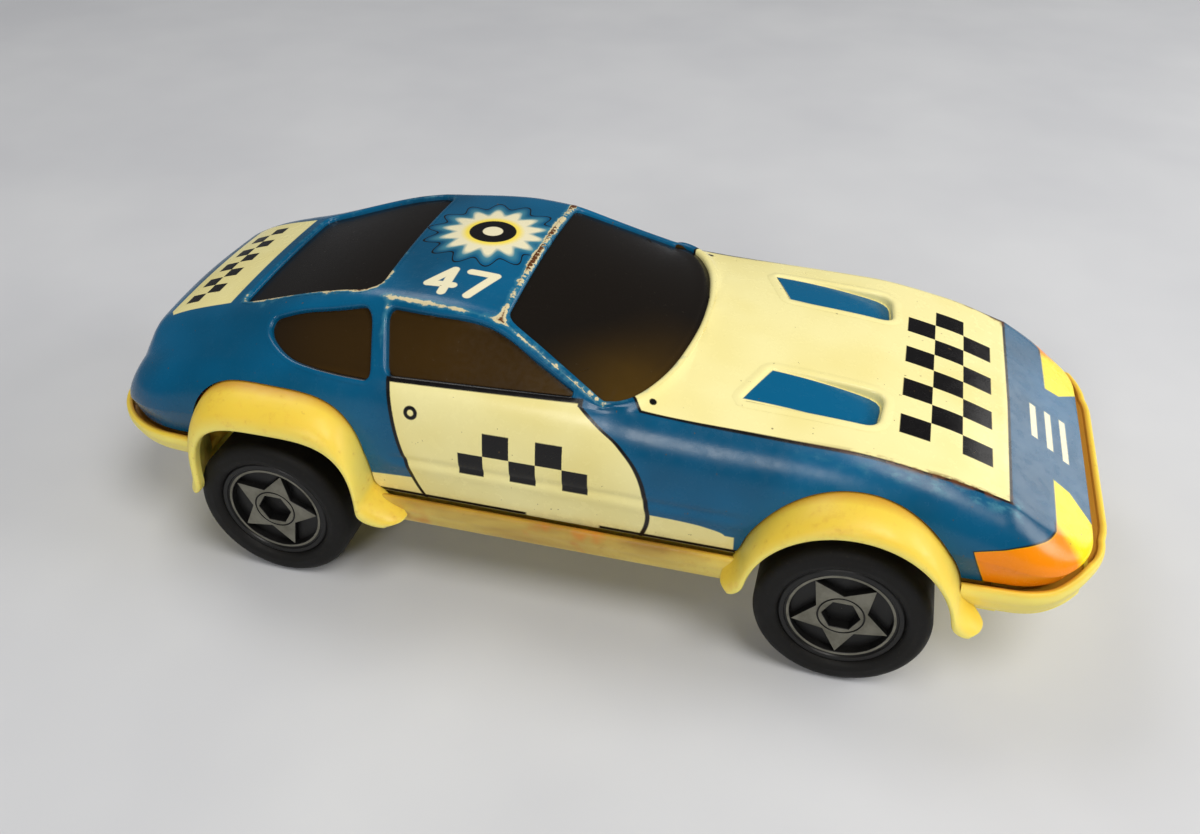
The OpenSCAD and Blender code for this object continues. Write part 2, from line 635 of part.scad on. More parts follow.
module front_axle_carrier() {
    color("dimgray") difference() {
        union() {
            translate([x_front - carrier_len / 2, -carrier_half, floor_z - carrier_plate])
                cube([carrier_len, 2 * carrier_half, carrier_plate]);
            for (y = [-carrier_half, carrier_half - carrier_cheek])
                translate([x_front - cheek_len / 2, y, axle_z - carrier_drop])
                cube([cheek_len, carrier_cheek, floor_z - axle_z + carrier_drop]);
        }
        y_shaft(x_front, axle_z, axle_r + shaft_play, -half_w, half_w);
        carrier_places() screw_hole(floor_z - carrier_plate, carrier_plate);
    }
}
module carrier_screws() {
    color("silver") carrier_places() translate([0, 0, floor_z - carrier_plate])
        screw(carrier_plate + base_t + screw_tip);
}

// Wheels: a dished hub with star spokes, pressed on the axle, and a tyre round it
hub_r = hub_d / 2;
tyre_r = tyre_d / 2;
face_y = track_w / 2;
tread_round = 2.2;
star_out = dish_r - 0.2;
star_in = 5.5;
star_h = 1.6;
front_star_turn = 54;
rear_star_turn = 1;
hex_r = 4.1;
hex_sink = 0.8;
dish_flare = 0.7;
sink = 0.5;
round_fn = 96;
module at_wheel(x, side) {
    translate([x, 0, axle_z]) rotate([side > 0 ? -90 : 90, 0, 0]) children();
}
module hub_shape(turn) {
    dish_z = face_y - hub_face - dish_depth;
    difference() {
        union() {
            rotate_extrude($fn = round_fn) polygon([
                [0, hub_in_y], [hub_r, hub_in_y], [hub_r, face_y - hub_face],
                [dish_r + dish_flare, face_y - hub_face], [dish_r - dish_flare, dish_z], [0, dish_z]]);
            translate([0, 0, dish_z - sink]) linear_extrude(star_h + sink) polygon([
                for (i = [0:2 * star_points - 1]) let (a = turn + 180 * i / star_points)
                    (i % 2 == 0 ? star_out : star_in) * [cos(a), sin(a)]]);
        }
        translate([0, 0, hub_in_y - sink]) cylinder(r = axle_r, h = axle_end_y - hub_in_y + sink);
        translate([0, 0, dish_z - hex_sink]) cylinder(r = hex_r, h = dish_depth + 2 * hex_sink, $fn = 6);
    }
}
module tyre_shape() {
    rotate_extrude($fn = round_fn) polygon([
        [hub_r, face_y - tyre_w], [tyre_r - tread_round, face_y - tyre_w],
        [tyre_r, face_y - tyre_w + tread_round], [tyre_r, face_y - tread_round],
        [tyre_r - tread_round, face_y], [hub_r + hub_face, face_y], [hub_r, face_y - hub_face]]);
}
module hub_at(x, side, turn) { color("black") at_wheel(x, side) hub_shape(-side * turn); }
module tyre_at(x, side) { color("dimgray") at_wheel(x, side) tyre_shape(); }
module hub_front_left() { hub_at(x_front, 1, front_star_turn); }
module hub_front_right() { hub_at(x_front, -1, front_star_turn); }
module hub_rear_left() { hub_at(x_rear, 1, rear_star_turn); }
module hub_rear_right() { hub_at(x_rear, -1, rear_star_turn); }
module tyre_front_left() { tyre_at(x_front, 1); }
module tyre_front_right() { tyre_at(x_front, -1); }
module tyre_rear_left() { tyre_at(x_rear, 1); }
module tyre_rear_right() { tyre_at(x_rear, -1); }

// Friction motor: two stages of gears speed up a flywheel between two plates
pressure = 25;
stub = 0.8;
dedendum = 1.05;
backlash = 0.08;
mesh_dist = gear_module * (gear_teeth + pinion_teeth) / 2 + 0.02;
idler_angle = 50;
flywheel_angle = 20;
idler_at = [x_rear + mesh_dist * cos(idler_angle), axle_z + mesh_dist * sin(idler_angle)];
flywheel_at = idler_at + mesh_dist * [cos(flywheel_angle), sin(flywheel_angle)];
half_pitch = 180 / pinion_teeth;
function involute(rb, r) = let (a = acos(min(1, rb / r))) tan(a) * 180 / PI - a;
function tooth_half(teeth, r) =
    let (rp = gear_module * teeth / 2, rb = rp * cos(pressure))
    90 / teeth - backlash / 4 / rp * 180 / PI + involute(rb, rp) - involute(rb, max(r, rb));
flank_steps = 4;
function tooth_profile(teeth) =
    let (rp = gear_module * teeth / 2, ra = rp + stub * gear_module, rf = rp - dedendum * gear_module,
        rb = max(rf + 0.02, rp * cos(pressure)))
    concat([[rf, tooth_half(teeth, rb) + 0.4]],
        [for (i = [0:flank_steps]) let (r = mix(rb, ra, i / flank_steps)) [r, tooth_half(teeth, r)]]);
function gear_points(teeth) = [
    for (t = [0:teeth - 1]) let (c = 360 * t / teeth, p = tooth_profile(teeth), n = len(p))
        each concat(
            [for (i = [0:n - 1]) p[i][0] * [cos(c - p[i][1]), sin(c - p[i][1])]],
            [for (i = [n - 1:-1:0]) p[i][0] * [cos(c + p[i][1]), sin(c + p[i][1])]])];
module gear_blank(at, teeth, turn, y0, w) {
    translate([at[0], y0 + w, at[1]]) rotate([90, 0, 0]) rotate([0, 0, turn]) linear_extrude(w)
        polygon(gear_points(teeth));
}
stage_gap = 1.6;
side_gap = 0.5;
first_gap = 1.2;
collar_r = 2.6;
rim_w = 2.5;
rim_depth = 1.2;
first_y = -motor_gap / 2 + first_gap;
second_y = first_y + gear_w + stage_gap;
flywheel_y = second_y + gear_w + stage_gap;
module drive_gear() {
    color("goldenrod") difference() {
        gear_blank([x_rear, axle_z], gear_teeth, idler_angle, first_y, gear_w);
        y_shaft(x_rear, axle_z, axle_r, -motor_gap, motor_gap);
    }
}
module idler_gear() {
    color("goldenrod") difference() {
        union() {
            gear_blank(idler_at, pinion_teeth, idler_angle + 180 + half_pitch, first_y - side_gap,
                gear_w + 2 * side_gap);
            y_shaft(idler_at[0], idler_at[1], collar_r, first_y + gear_w + side_gap, second_y);
            gear_blank(idler_at, gear_teeth, flywheel_angle, second_y, gear_w);
        }
        y_shaft(idler_at[0], idler_at[1], shaft_d / 2, -motor_gap, motor_gap);
    }
}
module flywheel_pinion() {
    color("goldenrod") difference() {
        gear_blank(flywheel_at, pinion_teeth, flywheel_angle + 180 + half_pitch, second_y - side_gap,
            gear_w + 2 * side_gap);
        y_shaft(flywheel_at[0], flywheel_at[1], shaft_d / 2, -motor_gap, motor_gap);
    }
}
module flywheel() {
    color("gray") difference() {
        y_shaft(flywheel_at[0], flywheel_at[1], flywheel_d / 2, flywheel_y, flywheel_y + flywheel_w);
        y_shaft(flywheel_at[0], flywheel_at[1], flywheel_d / 2 - rim_w, flywheel_y + flywheel_w - rim_depth,
            motor_gap);
        y_shaft(flywheel_at[0], flywheel_at[1], shaft_d / 2, -motor_gap, motor_gap);
    }
}
shaft_out = 0.4;
shaft_half = motor_gap / 2 + plate_t + shaft_out;
module idler_shaft() {
    color("silver") y_shaft(idler_at[0], idler_at[1], shaft_d / 2, -shaft_half, shaft_half);
}
module flywheel_shaft() {
    color("silver") y_shaft(flywheel_at[0], flywheel_at[1], shaft_d / 2, -shaft_half, shaft_half);
}

// Motor side plates with feet that stand on the floor beside the motor bay
plate_margin = 4.5;
foot_w = 8;
foot_len = 7;
spacer_r = 1.8;
spacer_rear_x = 11;
spacer_rear_h = 12;
spacer_top_x = 2;
spacer_top_h = 30;
spacer_front_x = 36;
spacer_front_h = 8;
spacer_at = [
    [x_rear - spacer_rear_x, axle_z + spacer_rear_h], [x_rear + spacer_top_x, axle_z + spacer_top_h],
    [x_rear + spacer_front_x, axle_z + spacer_front_h]];
plate_edge = 1;
plate_front_h = 12;
plate_rear_h = 16;
plate_top_h = 34;
plate_x0 = x_rear - motor_bay_rear + plate_edge;
plate_x1 = x_rear + motor_bay_front - plate_edge;
plate_outline = [
    [plate_x0, floor_top], [x_rear - plate_margin, axle_z - plate_margin],
    [x_rear + plate_margin, axle_z - plate_margin], [plate_x1, floor_top], [plate_x1, axle_z + plate_front_h],
    [flywheel_at[0] + plate_margin, flywheel_at[1] + plate_margin],
    [x_rear - plate_edge, axle_z + plate_top_h], [plate_x0, axle_z + plate_rear_h]];
foot_at = [plate_x0 + foot_len / 2, plate_x1 - foot_len / 2];
foot_y = motor_gap / 2 + plate_t + foot_w / 2;
module foot_places() {
    for (side = [-1, 1]) for (x = foot_at) translate([x, side * foot_y, 0]) children();
}
module motor_plate(side) {
    y0 = side > 0 ? motor_gap / 2 : -motor_gap / 2 - plate_t;
    foot_y0 = side > 0 ? motor_gap / 2 : -motor_gap / 2 - plate_t - foot_w;
    difference() {
        union() {
            translate([0, y0 + plate_t, 0]) rotate([90, 0, 0]) linear_extrude(plate_t) polygon(plate_outline);
            for (x = foot_at) translate([x - foot_len / 2, foot_y0, floor_top])
                cube([foot_len, foot_w + plate_t, plate_t]);
        }
        y_shaft(x_rear, axle_z, axle_r + shaft_play, -half_w, half_w);
        for (p = [idler_at, flywheel_at]) y_shaft(p[0], p[1], shaft_d / 2 + shaft_play, -half_w, half_w);
        foot_places() screw_hole(floor_top, plate_t);
    }
}
module motor_plate_left() { color("lightslategray") motor_plate(1); }
module motor_plate_right() { color("lightslategray") motor_plate(-1); }
module motor_spacers() {
    color("silver") for (p = spacer_at) y_shaft(p[0], p[1], spacer_r, -motor_gap / 2, motor_gap / 2);
}
module motor_screws() {
    color("silver") foot_places() translate([0, 0, floor_z]) screw(base_t + plate_t + screw_tip);
}

body_shell();
window_insert();
chassis_base();
body_screws();
front_axle();
front_axle_carrier();
carrier_screws();
rear_axle();
hub_front_left();
hub_front_right();
hub_rear_left();
hub_rear_right();
tyre_front_left();
tyre_front_right();
tyre_rear_left();
tyre_rear_right();
motor_plate_left();
motor_plate_right();
motor_spacers();
motor_screws();
drive_gear();
idler_shaft();
idler_gear();
flywheel_shaft();
flywheel_pinion();
flywheel();
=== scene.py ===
"""Looks of a friction-drive tinplate police car on a moulded plastic base.

Fine skins for the tin, the glazing, the base and the wheels ride on the CAD frame.
Lengths in this script are millimetres until a mesh is made; the scene is in metres.
"""

import json
import math
from bisect import bisect_right
from functools import reduce

import bmesh
import bpy
import numpy as np
from mathutils import Matrix, Vector
from mathutils.bvhtree import BVHTree
from mathutils.kdtree import KDTree


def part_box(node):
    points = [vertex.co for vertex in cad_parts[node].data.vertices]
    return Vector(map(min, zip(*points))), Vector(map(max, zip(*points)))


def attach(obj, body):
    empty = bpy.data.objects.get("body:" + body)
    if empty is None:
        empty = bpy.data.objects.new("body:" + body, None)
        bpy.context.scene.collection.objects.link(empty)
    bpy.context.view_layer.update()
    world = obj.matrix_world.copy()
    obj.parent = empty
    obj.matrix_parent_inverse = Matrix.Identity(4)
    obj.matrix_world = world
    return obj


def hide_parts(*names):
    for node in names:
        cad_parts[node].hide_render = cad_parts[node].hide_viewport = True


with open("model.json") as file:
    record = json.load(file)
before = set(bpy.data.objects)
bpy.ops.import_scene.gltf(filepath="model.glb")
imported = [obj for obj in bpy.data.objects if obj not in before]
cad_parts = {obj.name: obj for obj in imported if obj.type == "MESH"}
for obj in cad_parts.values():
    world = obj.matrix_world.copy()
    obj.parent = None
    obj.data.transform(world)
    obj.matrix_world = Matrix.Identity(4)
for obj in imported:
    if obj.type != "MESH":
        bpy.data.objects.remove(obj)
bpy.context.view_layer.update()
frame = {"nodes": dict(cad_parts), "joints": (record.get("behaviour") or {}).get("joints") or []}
MM = 0.001

# Places read from the frame
joint_at = {j["name"]: np.array(j["pos_m"]) / MM for j in frame["joints"]}
base_low, base_high = [np.array(c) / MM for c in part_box("chassis_base")]
shell_low, shell_high = [np.array(c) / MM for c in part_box("body_shell")]
tyre_low, tyre_high = [np.array(c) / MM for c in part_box("tyre_front_left")]
x_front, axle_z = joint_at["front_axle_spin"][0], joint_at["front_axle_spin"][2]
x_rear = joint_at["rear_axle_spin"][0]
x_lip_front, x_lip_rear = base_high[0], base_low[0]
x_nose, x_tail = shell_high[0], shell_low[0]
half_w = shell_high[1]
flare_y = base_high[1]
face_y = tyre_high[1]
tyre_r = (tyre_high[2] - tyre_low[2]) / 2
tyre_w = tyre_high[1] - tyre_low[1]

# Shape of the tin, as in the CAD source
tin_t = 0.6
nose_r, tail_r = 16, 20
x_bonnet = x_nose - 18.7
x_screen = x_bonnet - 69
screen_sweep = 15.5
x_pillar = x_screen - screen_sweep
x_header = x_screen - 40.5
x_deck = x_tail + 9
x_back_low = x_deck + 22.3
x_back_top = x_back_low + 37
sill_z, end_z, nose_z, bonnet_z = 27, 34.5, 36.8, 48
screen_z, belt_z, header_z, roof_z = 59.9, 56.8, 71.8, 72.6
backlight_top_z, backlight_base_z, deck_z = 71.4, 60.6, 53.4
bow, edge_bow, fall, fall_share, deck_round = 3.0, 3.4, 0.78, 0.83, 3.5
scuttle_z = belt_z - 0.6
tuck, crease_share, shoulder_lift, rail_round = 1.8, 0.386, 0.28, 3
pillar_half, pillar_base_z = half_w - 5.5, belt_z + 0.7
# Shares of the half width for the line on the bonnet: least, most, and the run that would give a whole
rail_least, rail_most, rail_run = 0.04, 0.5, 20
# Line pressed along the doors: depth and width of the groove, and of the bead below it
groove_d, groove_w, bead_d, bead_w, bead_drop = 0.5, 0.9, 0.2, 1.3, 2.4
door_line_rear, door_line_front, door_line_fade = x_rear + 27, x_front - 20, 8


def mix(a, b, t):
    return a + (b - a) * t


def angles(start, stop, steps):
    """Even angles between two given in degrees, in radians."""
    return np.radians(np.linspace(start, stop, steps))


def curve(knots, x):
    """Value at x of a smooth curve through knots (place, value); a third item marks a kink."""
    last = len(knots) - 1
    i = min(max(bisect_right([k[0] for k in knots], x) - 1, 0), last - 1)
    secant = [(b[1] - a[1]) / (b[0] - a[0]) for a, b in zip(knots, knots[1:])]

    def slope(k):
        if k in (0, last) or len(knots[k]) > 2:
            return secant[i]
        before, after = secant[k - 1], secant[k]
        return 2 * before * after / (before + after) if before * after > 0 else 0

    (x0, z0), (x1, z1) = knots[i][:2], knots[i + 1][:2]
    h = x1 - x0
    t = min(max((x - x0) / h, 0), 1)
    return (
        z0 * (1 + 2 * t) * (1 - t) ** 2 + slope(i) * h * t * (1 - t) ** 2
        + z1 * t * t * (3 - 2 * t) - slope(i + 1) * h * t * t * (1 - t)
    )


def bezier(a, b, c, t):
    t = np.asarray(t)[:, None]
    return np.array(a) * (1 - t) ** 2 + np.array(b) * 2 * t * (1 - t) + np.array(c) * t * t


def line(a, b, t):
    return mix(np.array(a), np.array(b), np.asarray(t)[:, None])


def plan_half(x, x0, x1, w, r0, r1):
    """Half the plan width of a rounded rectangle from x0 to x1."""
    if x < x0 + r0:
        return w - r0 + math.sqrt(max(0, r0 ** 2 - (x0 + r0 - x) ** 2))
    if x > x1 - r1:
        return w - r1 + math.sqrt(max(0, r1 ** 2 - (x - x1 + r1) ** 2))
    return w


def tin_half(x):
    return plan_half(x, x_tail, x_nose, half_w, tail_r, nose_r)


x_tail_mid, x_roof = mix(x_tail, x_deck, 0.45), mix(x_back_top, x_header, 0.6)
x_bonnet_mid, x_fall = mix(x_screen, x_bonnet, 0.5), mix(x_screen, x_bonnet, fall)
# Curves along the car: heights of the centre line, the lower edge and the shoulder, how far the
# shoulder lies in from the side, and half width and height of the roof rail
CENTRE = [
    (x_tail, end_z + 0.4), (x_deck - deck_round, deck_z - 0.9 * deck_round), (x_deck, deck_z),
    (x_back_low, backlight_base_z), (x_back_top, backlight_top_z),
    (mix(x_back_top, x_header, 0.5), roof_z), (x_header, header_z, 1),
    (mix(x_header, x_screen, 0.5), mix(header_z, screen_z, 0.5) + 0.7), (x_screen, screen_z, 1),
    (x_bonnet_mid, mix(screen_z, bonnet_z, 0.5) + bow),
    (x_fall, mix(screen_z, bonnet_z, fall) + fall_share * bow),
    (x_bonnet, bonnet_z, 1), (x_nose, nose_z),
]
LOWER = [
    (x_tail, end_z), (x_rear - 16, end_z - 1), (x_rear + 12, sill_z, 1), (x_front - 12, sill_z, 1),
    (x_front + 16, end_z - 3.4), (x_nose - 8, end_z - 2.2), (x_nose, end_z + 1.5),
]
SHOULDER = [
    (x_tail, end_z + 0.2), (mix(x_tail, x_deck, 0.5), mix(end_z, deck_z, 0.4)),
    (x_deck, mix(end_z, deck_z, 0.68)), (x_back_low, belt_z - 3), (x_back_top, belt_z),
    (x_pillar, belt_z), (x_screen, scuttle_z),
    (x_bonnet_mid, mix(scuttle_z, bonnet_z, 0.5) + edge_bow),
    (x_fall, mix(scuttle_z, bonnet_z, fall) + fall_share * edge_bow),
    (x_bonnet, bonnet_z - 0.1, 1), (x_nose, nose_z - 0.3),
]
INSET = [
    (x_tail, 2), (x_tail_mid, 7), (x_deck, 8.5), (x_back_low, 6),
    (x_back_top, 4), (x_pillar - 3, 5), (x_pillar + 8, 6.5), (x_bonnet, 7.9),
    (x_nose - 6, 7), (x_nose, 2),
]
RAIL_HALF = [
    (x_tail, 18), (x_tail_mid, 22), (x_deck, 25), (x_back_low, 25.8),
    (x_back_top, 27), (x_roof, 28.8), (x_header, 29.4, 1),
    (x_pillar, pillar_half),
]
RAIL_LINE = [
    (x_tail, end_z + 0.3), (x_tail_mid, mix(end_z, deck_z, 0.52)),
    (x_deck, deck_z - 1.2), (x_back_low, backlight_base_z - 0.9),
    (x_back_top, backlight_top_z - 1.4), (x_roof, roof_z - 1.9),
    (x_header, header_z - 2.1, 1), (x_pillar, pillar_base_z),
]


def rail_at(x):
    """Inner edge of the shoulder panel: roof rail, windscreen base or a line on the bonnet."""
    if x <= x_pillar:
        return np.array([curve(RAIL_HALF, x), curve(RAIL_LINE, x)])
    if x < x_screen:
        s = max(rail_least, math.sqrt(max(0, 1 - ((x - x_pillar) / screen_sweep) ** 2)))
        return np.array([s * pillar_half, mix(screen_z, pillar_base_z, s * s)])
    s = min(rail_most, rail_least + (x - x_screen) / rail_run)
    return np.array([
        s * (tin_half(x) - curve(INSET, x)),
        mix(curve(CENTRE, x), curve(SHOULDER, x), s * s),
    ])


# Rows of points in half a section, and how they crowd below and above the crease
LOW_ROWS, SIDE_ROWS, GLASS_ROWS, RAIL_ROWS, TOP_ROWS = 12, 22, 18, 6, 17
low_crowd, side_crowd = 0.7, 1.3
shoulder_row = LOW_ROWS + SIDE_ROWS
rail_row = shoulder_row + GLASS_ROWS + RAIL_ROWS // 2


def shares(n):
    """Even shares from 0 up to 1, without the 1."""
    return np.linspace(0, 1, n + 1)[:-1]


def body_half(x):
    """Half section of the tin at x, from the lower edge to the centre line, as (y, z)."""
    w = tin_half(x)
    zb = curve(LOWER, x)
    zs = max(zb + 0.2, curve(SHOULDER, x))
    crease = np.array([w, mix(zb, zs, crease_share)])
    low = [w - min(tuck, 0.4 * (zs - zb)), zb]
    shoulder = np.array([w - curve(INSET, x), zs])
    rail = rail_at(x)
    top = curve(CENTRE, x)
    run = np.linalg.norm(rail - shoulder)
    near = mix(rail, shoulder, min(0.45, rail_round / max(run, 0.01)))
    over = rail[0] - min(rail_round, 0.3 * rail[0])
    past = [over, mix(top, rail[1], (over / rail[0]) ** 2)]
    y = over * (1 - np.linspace(0, 1, TOP_ROWS))
    swell = [w, mix(zs, crease[1], shoulder_lift)]
    section = np.concatenate([
        line(low, crease, shares(LOW_ROWS) ** low_crowd),
        bezier(crease, swell, shoulder, shares(SIDE_ROWS) ** side_crowd),
        line(shoulder, near, shares(GLASS_ROWS)),
        bezier(near, rail, past, shares(RAIL_ROWS)),
        np.stack([y, mix(top, rail[1], (y / rail[0]) ** 2)], 1),
    ])
    between = np.clip(min(x - door_line_rear, door_line_front - x) / door_line_fade, 0, 1)
    gap = section[:, 1] - crease[1]
    groove = groove_d * np.exp(-(gap / groove_w) ** 2)
    groove -= bead_d * np.exp(-((gap + bead_drop) / bead_w) ** 2)
    section[:shoulder_row, 0] -= between * groove[:shoulder_row]
    if x > x_screen:
        section[shoulder_row:, 1] = mix(top, zs, (section[shoulder_row:, 0] / shoulder[0]) ** 2)
    elif x > x_pillar:
        t = shares(GLASS_ROWS)
        crown = (screen_z - zs) * ((shoulder[0] - rail[0]) / shoulder[0]) ** 2
        section[shoulder_row:shoulder_row + GLASS_ROWS, 1] += crown * t * (1 - t)
    return section


def spread(a, b, step):
    return np.linspace(a, b, max(2, int(math.ceil((b - a) / step)) + 1))


def body_stations():
    """Places of the sections, closest at the ends and at the windscreen base."""
    turn = angles(0, 90, 22)
    step = 1.7
    return np.unique(np.round(np.concatenate([
        x_tail + tail_r * (1 - np.cos(turn)), spread(x_tail + tail_r, x_back_low, step),
        spread(x_back_low, x_back_top, step), spread(x_back_top, x_header, step),
        spread(x_header, x_pillar, step), x_pillar + screen_sweep * np.sin(turn),
        spread(x_screen, x_bonnet, step), spread(x_bonnet, x_nose - nose_r, step),
        x_nose - nose_r * (1 - np.sin(turn)),
    ]), 4))


# Meshes


def make(name, points, faces, materials=(), smooth=35):
    """A mesh object from points in millimetres."""
    mesh = bpy.data.meshes.new(name)
    mesh.from_pydata((np.asarray(points, float) * MM).tolist(), [], [list(f) for f in faces])
    for material in materials:
        mesh.materials.append(material)
    shade(mesh, smooth)
    obj = bpy.data.objects.new(name, mesh)
    bpy.context.scene.collection.objects.link(obj)
    return obj


def shade(mesh, smooth):
    mesh.polygons.foreach_set("use_smooth", [True] * len(mesh.polygons))
    mesh.set_sharp_from_angle(angle=math.radians(smooth))
    mesh.update()


def grid_faces(rows, columns, close=False, wrap=False):
    """Quads over a grid of points; close joins the last column to the first, wrap the last row."""
    faces = []
    for i in range(rows if wrap else rows - 1):
        h = (i + 1) % rows
        for j in range(columns if close else columns - 1):
            k = (j + 1) % columns
            faces.append((i * columns + j, h * columns + j, h * columns + k, i * columns + k))
    return faces


def loft(rings, caps=True):
    """Points and faces of a tube through closed rings."""
    rings = np.asarray(rings, float)
    n, m = rings.shape[:2]
    faces = grid_faces(n, m, close=True)
    if caps:
        faces.append(tuple(range(m)))
        faces.append(tuple((n - 1) * m + j for j in reversed(range(m))))
    return rings.reshape(-1, 3), faces


def solid(name, points, faces, materials=(), smooth=35):
    """A mesh object with all its faces turned outward."""
    obj = make(name, points, faces, materials, smooth)
    bm = bmesh.new()
    bm.from_mesh(obj.data)
    bmesh.ops.recalc_face_normals(bm, faces=bm.faces)
    bm.to_mesh(obj.data)
    bm.free()
    shade(obj.data, smooth)
    return obj


def store(obj, name, values):
    """Keeps a number for each point of an object."""
    layer = obj.data.attributes.new(name, "FLOAT", "POINT")
    layer.data.foreach_set("value", values)


def thicken(obj, thickness):
    """Gives a skin its thickness, inward."""
    wall = obj.modifiers.new("wall", "SOLIDIFY")
    wall.thickness = thickness * MM
    wall.offset = -1
    settle(obj)


def prism(name, outline, low, high, axis, materials=()):
    """A straight prism over an outline of (a, b): axis z over (x, y), axis y over (x, z)."""
    a, b = np.asarray(outline, float).T
    ends = []
    for level in (low, high):
        fill = np.full(len(a), level)
        ends.append(np.stack([a, b, fill] if axis == "z" else [a, fill, b], 1))
    return solid(name, *loft(ends), materials)


def carve(obj, cutters, operation="DIFFERENCE"):
    """Applies booleans with the cutters and removes them."""
    for cutter in cutters:
        tool = obj.modifiers.new("cut", "BOOLEAN")
        tool.operation = operation
        tool.solver = "MANIFOLD"
        tool.object = cutter
    settle(obj)
    for cutter in cutters:
        mesh = cutter.data
        bpy.data.objects.remove(cutter)
        bpy.data.meshes.remove(mesh)


def settle(obj):
    """Applies the modifiers of an object."""
    bpy.context.view_layer.update()
    done = obj.evaluated_get(bpy.context.evaluated_depsgraph_get())
    mesh = bpy.data.meshes.new_from_object(done)
    old = obj.data
    obj.modifiers.clear()
    obj.data = mesh
    bpy.data.meshes.remove(old)


def place(obj, body, slot, *nodes):
    """Hangs a piece on its CAD body, in place of its CAD nodes."""
    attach(obj, body)
    if nodes:
        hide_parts(*nodes)
    return obj


def unit(v):
    return v / np.maximum(np.linalg.norm(v, axis=-1, keepdims=True), 1e-9)


def rounded(points, radii, steps=8):
    """A closed outline with its corners rounded, by one radius or one for each."""
    points = np.array(points, float)
    radii = np.broadcast_to(radii, len(points))
    out = []
    for i, p in enumerate(points):
        before, after = points[i - 1], points[(i + 1) % len(points)]
        a, b = before - p, after - p
        reach = min(radii[i], 0.48 * np.linalg.norm(a), 0.48 * np.linalg.norm(b))
        start, stop = p + unit(a) * reach, p + unit(b) * reach
        out.extend(bezier(start, p, stop, np.linspace(0, 1, steps)))
    return np.array(out)


def dense(outline, step):
    """A closed outline sampled at even steps."""
    outline = np.asarray(outline, float)
    closed = np.concatenate([outline, outline[:1]])
    run = np.concatenate([[0], np.cumsum(np.linalg.norm(np.diff(closed, axis=0), axis=1))])
    at = np.linspace(0, run[-1], int(run[-1] / step) + 1)[:-1]
    return np.stack([np.interp(at, run, closed[:, k]) for k in range(outline.shape[1])], 1)


def grown(outline, by):
    """A closed outline moved outward."""
    outline = np.asarray(outline, float)
    after = np.roll(outline, -1, 0)
    along = after - np.roll(outline, 1, 0)
    normal = unit(np.stack([along[:, 1], -along[:, 0]], 1))
    hand = np.sign(np.sum(outline[:, 0] * after[:, 1] - after[:, 0] * outline[:, 1]))
    return outline + normal * by * hand


# Window outlines: side windows as (x, z), screens as (x, y)
pillar_x = x_back_top + 4


def window_top(x):
    return curve(RAIL_LINE, x) - 2


DOOR_BASE = ((x_pillar - 6, belt_z + 2), (pillar_x + 2.4, belt_z + 1.1))
DOOR_WINDOW = rounded([
    (pillar_x - 0.6, window_top(pillar_x - 0.6)), (x_header - 3, header_z - 2.9), *DOOR_BASE,
], [2.4, 7, 1.6, 1.8])
QUARTER_WINDOW = rounded([
    (x_back_low + 10.4, belt_z + 3.6), (x_back_low + 19, belt_z + 7),
    (pillar_x - 4.2, window_top(pillar_x - 4.2)), (pillar_x - 1.2, belt_z - 0.4),
    (pillar_x - 12, belt_z - 0.2), (x_back_low + 18, belt_z + 0.8),
], [3.6, 9, 3, 1.6, 8, 7])
screen_half = half_w - 7.3
SCREEN_SIDE = [(x_header + 1.2, 27.6), (x_pillar - 0.4, screen_half)] + [
    (x_pillar + (screen_sweep - 1.2) * math.sin(t), screen_half * math.cos(t)) for t in angles(5, 90, 16)]
SCREEN_WINDOW = rounded(SCREEN_SIDE + [(x, -y) for x, y in SCREEN_SIDE[-2::-1]], 2.2, 5)
BACK_SIDE = [(x_back_low + 0.3, 22.8), (x_back_top - 3.4, 25), (x_back_top - 0.4, 22.8)]
BACK_WINDOW = rounded(BACK_SIDE + [(x, -y) for x, y in BACK_SIDE[::-1]], [3, 5, 4, 4, 5, 3])
LIP_R = 0.9
LIP_DEPTH = 2.1

# Vents on the bonnet, flush at the back and deeper at the front; the rolled edge is (outward, down)
vent_depth, vent_clear = 2.4, 0.12
VENT_ROLL = ((2.6, -0.03), (1.8, -0.16), (1.1, -0.22), (0.6, -0.1), (0.25, 0.2), (0.08, 0.6), (0, 4))
vent_x1 = x_bonnet - 27.5
VENT_PLAN = np.array([
    (vent_x1 - 24.5, 15.6), (vent_x1, 15.6), (vent_x1 - 1, 27.5), (vent_x1 - 29.3, 27.5)])


def bonnet_top(x, y):
    w = tin_half(x) - curve(INSET, x)
    return mix(curve(CENTRE, x), curve(SHOULDER, x), (y / w) ** 2)


VENT_EDGE = rounded(VENT_PLAN, [0.8, 3.4, 3.4, 0.8])
vent_margin = 0.3
VENT_PRINT = [
    VENT_PLAN[0] + [0, vent_margin], *grown(rounded(VENT_PLAN, 3.4, 4), -vent_margin)[4:12],
    VENT_PLAN[3] - [0, vent_margin]]


def vent_floor(x, y):
    """Height of the floor of a vent, deeper towards the front."""
    share = (x - VENT_PLAN[3][0]) / (VENT_PLAN[1][0] - VENT_PLAN[3][0])
    return bonnet_top(x, y) - vent_depth * max(0, share) ** 2 - vent_clear


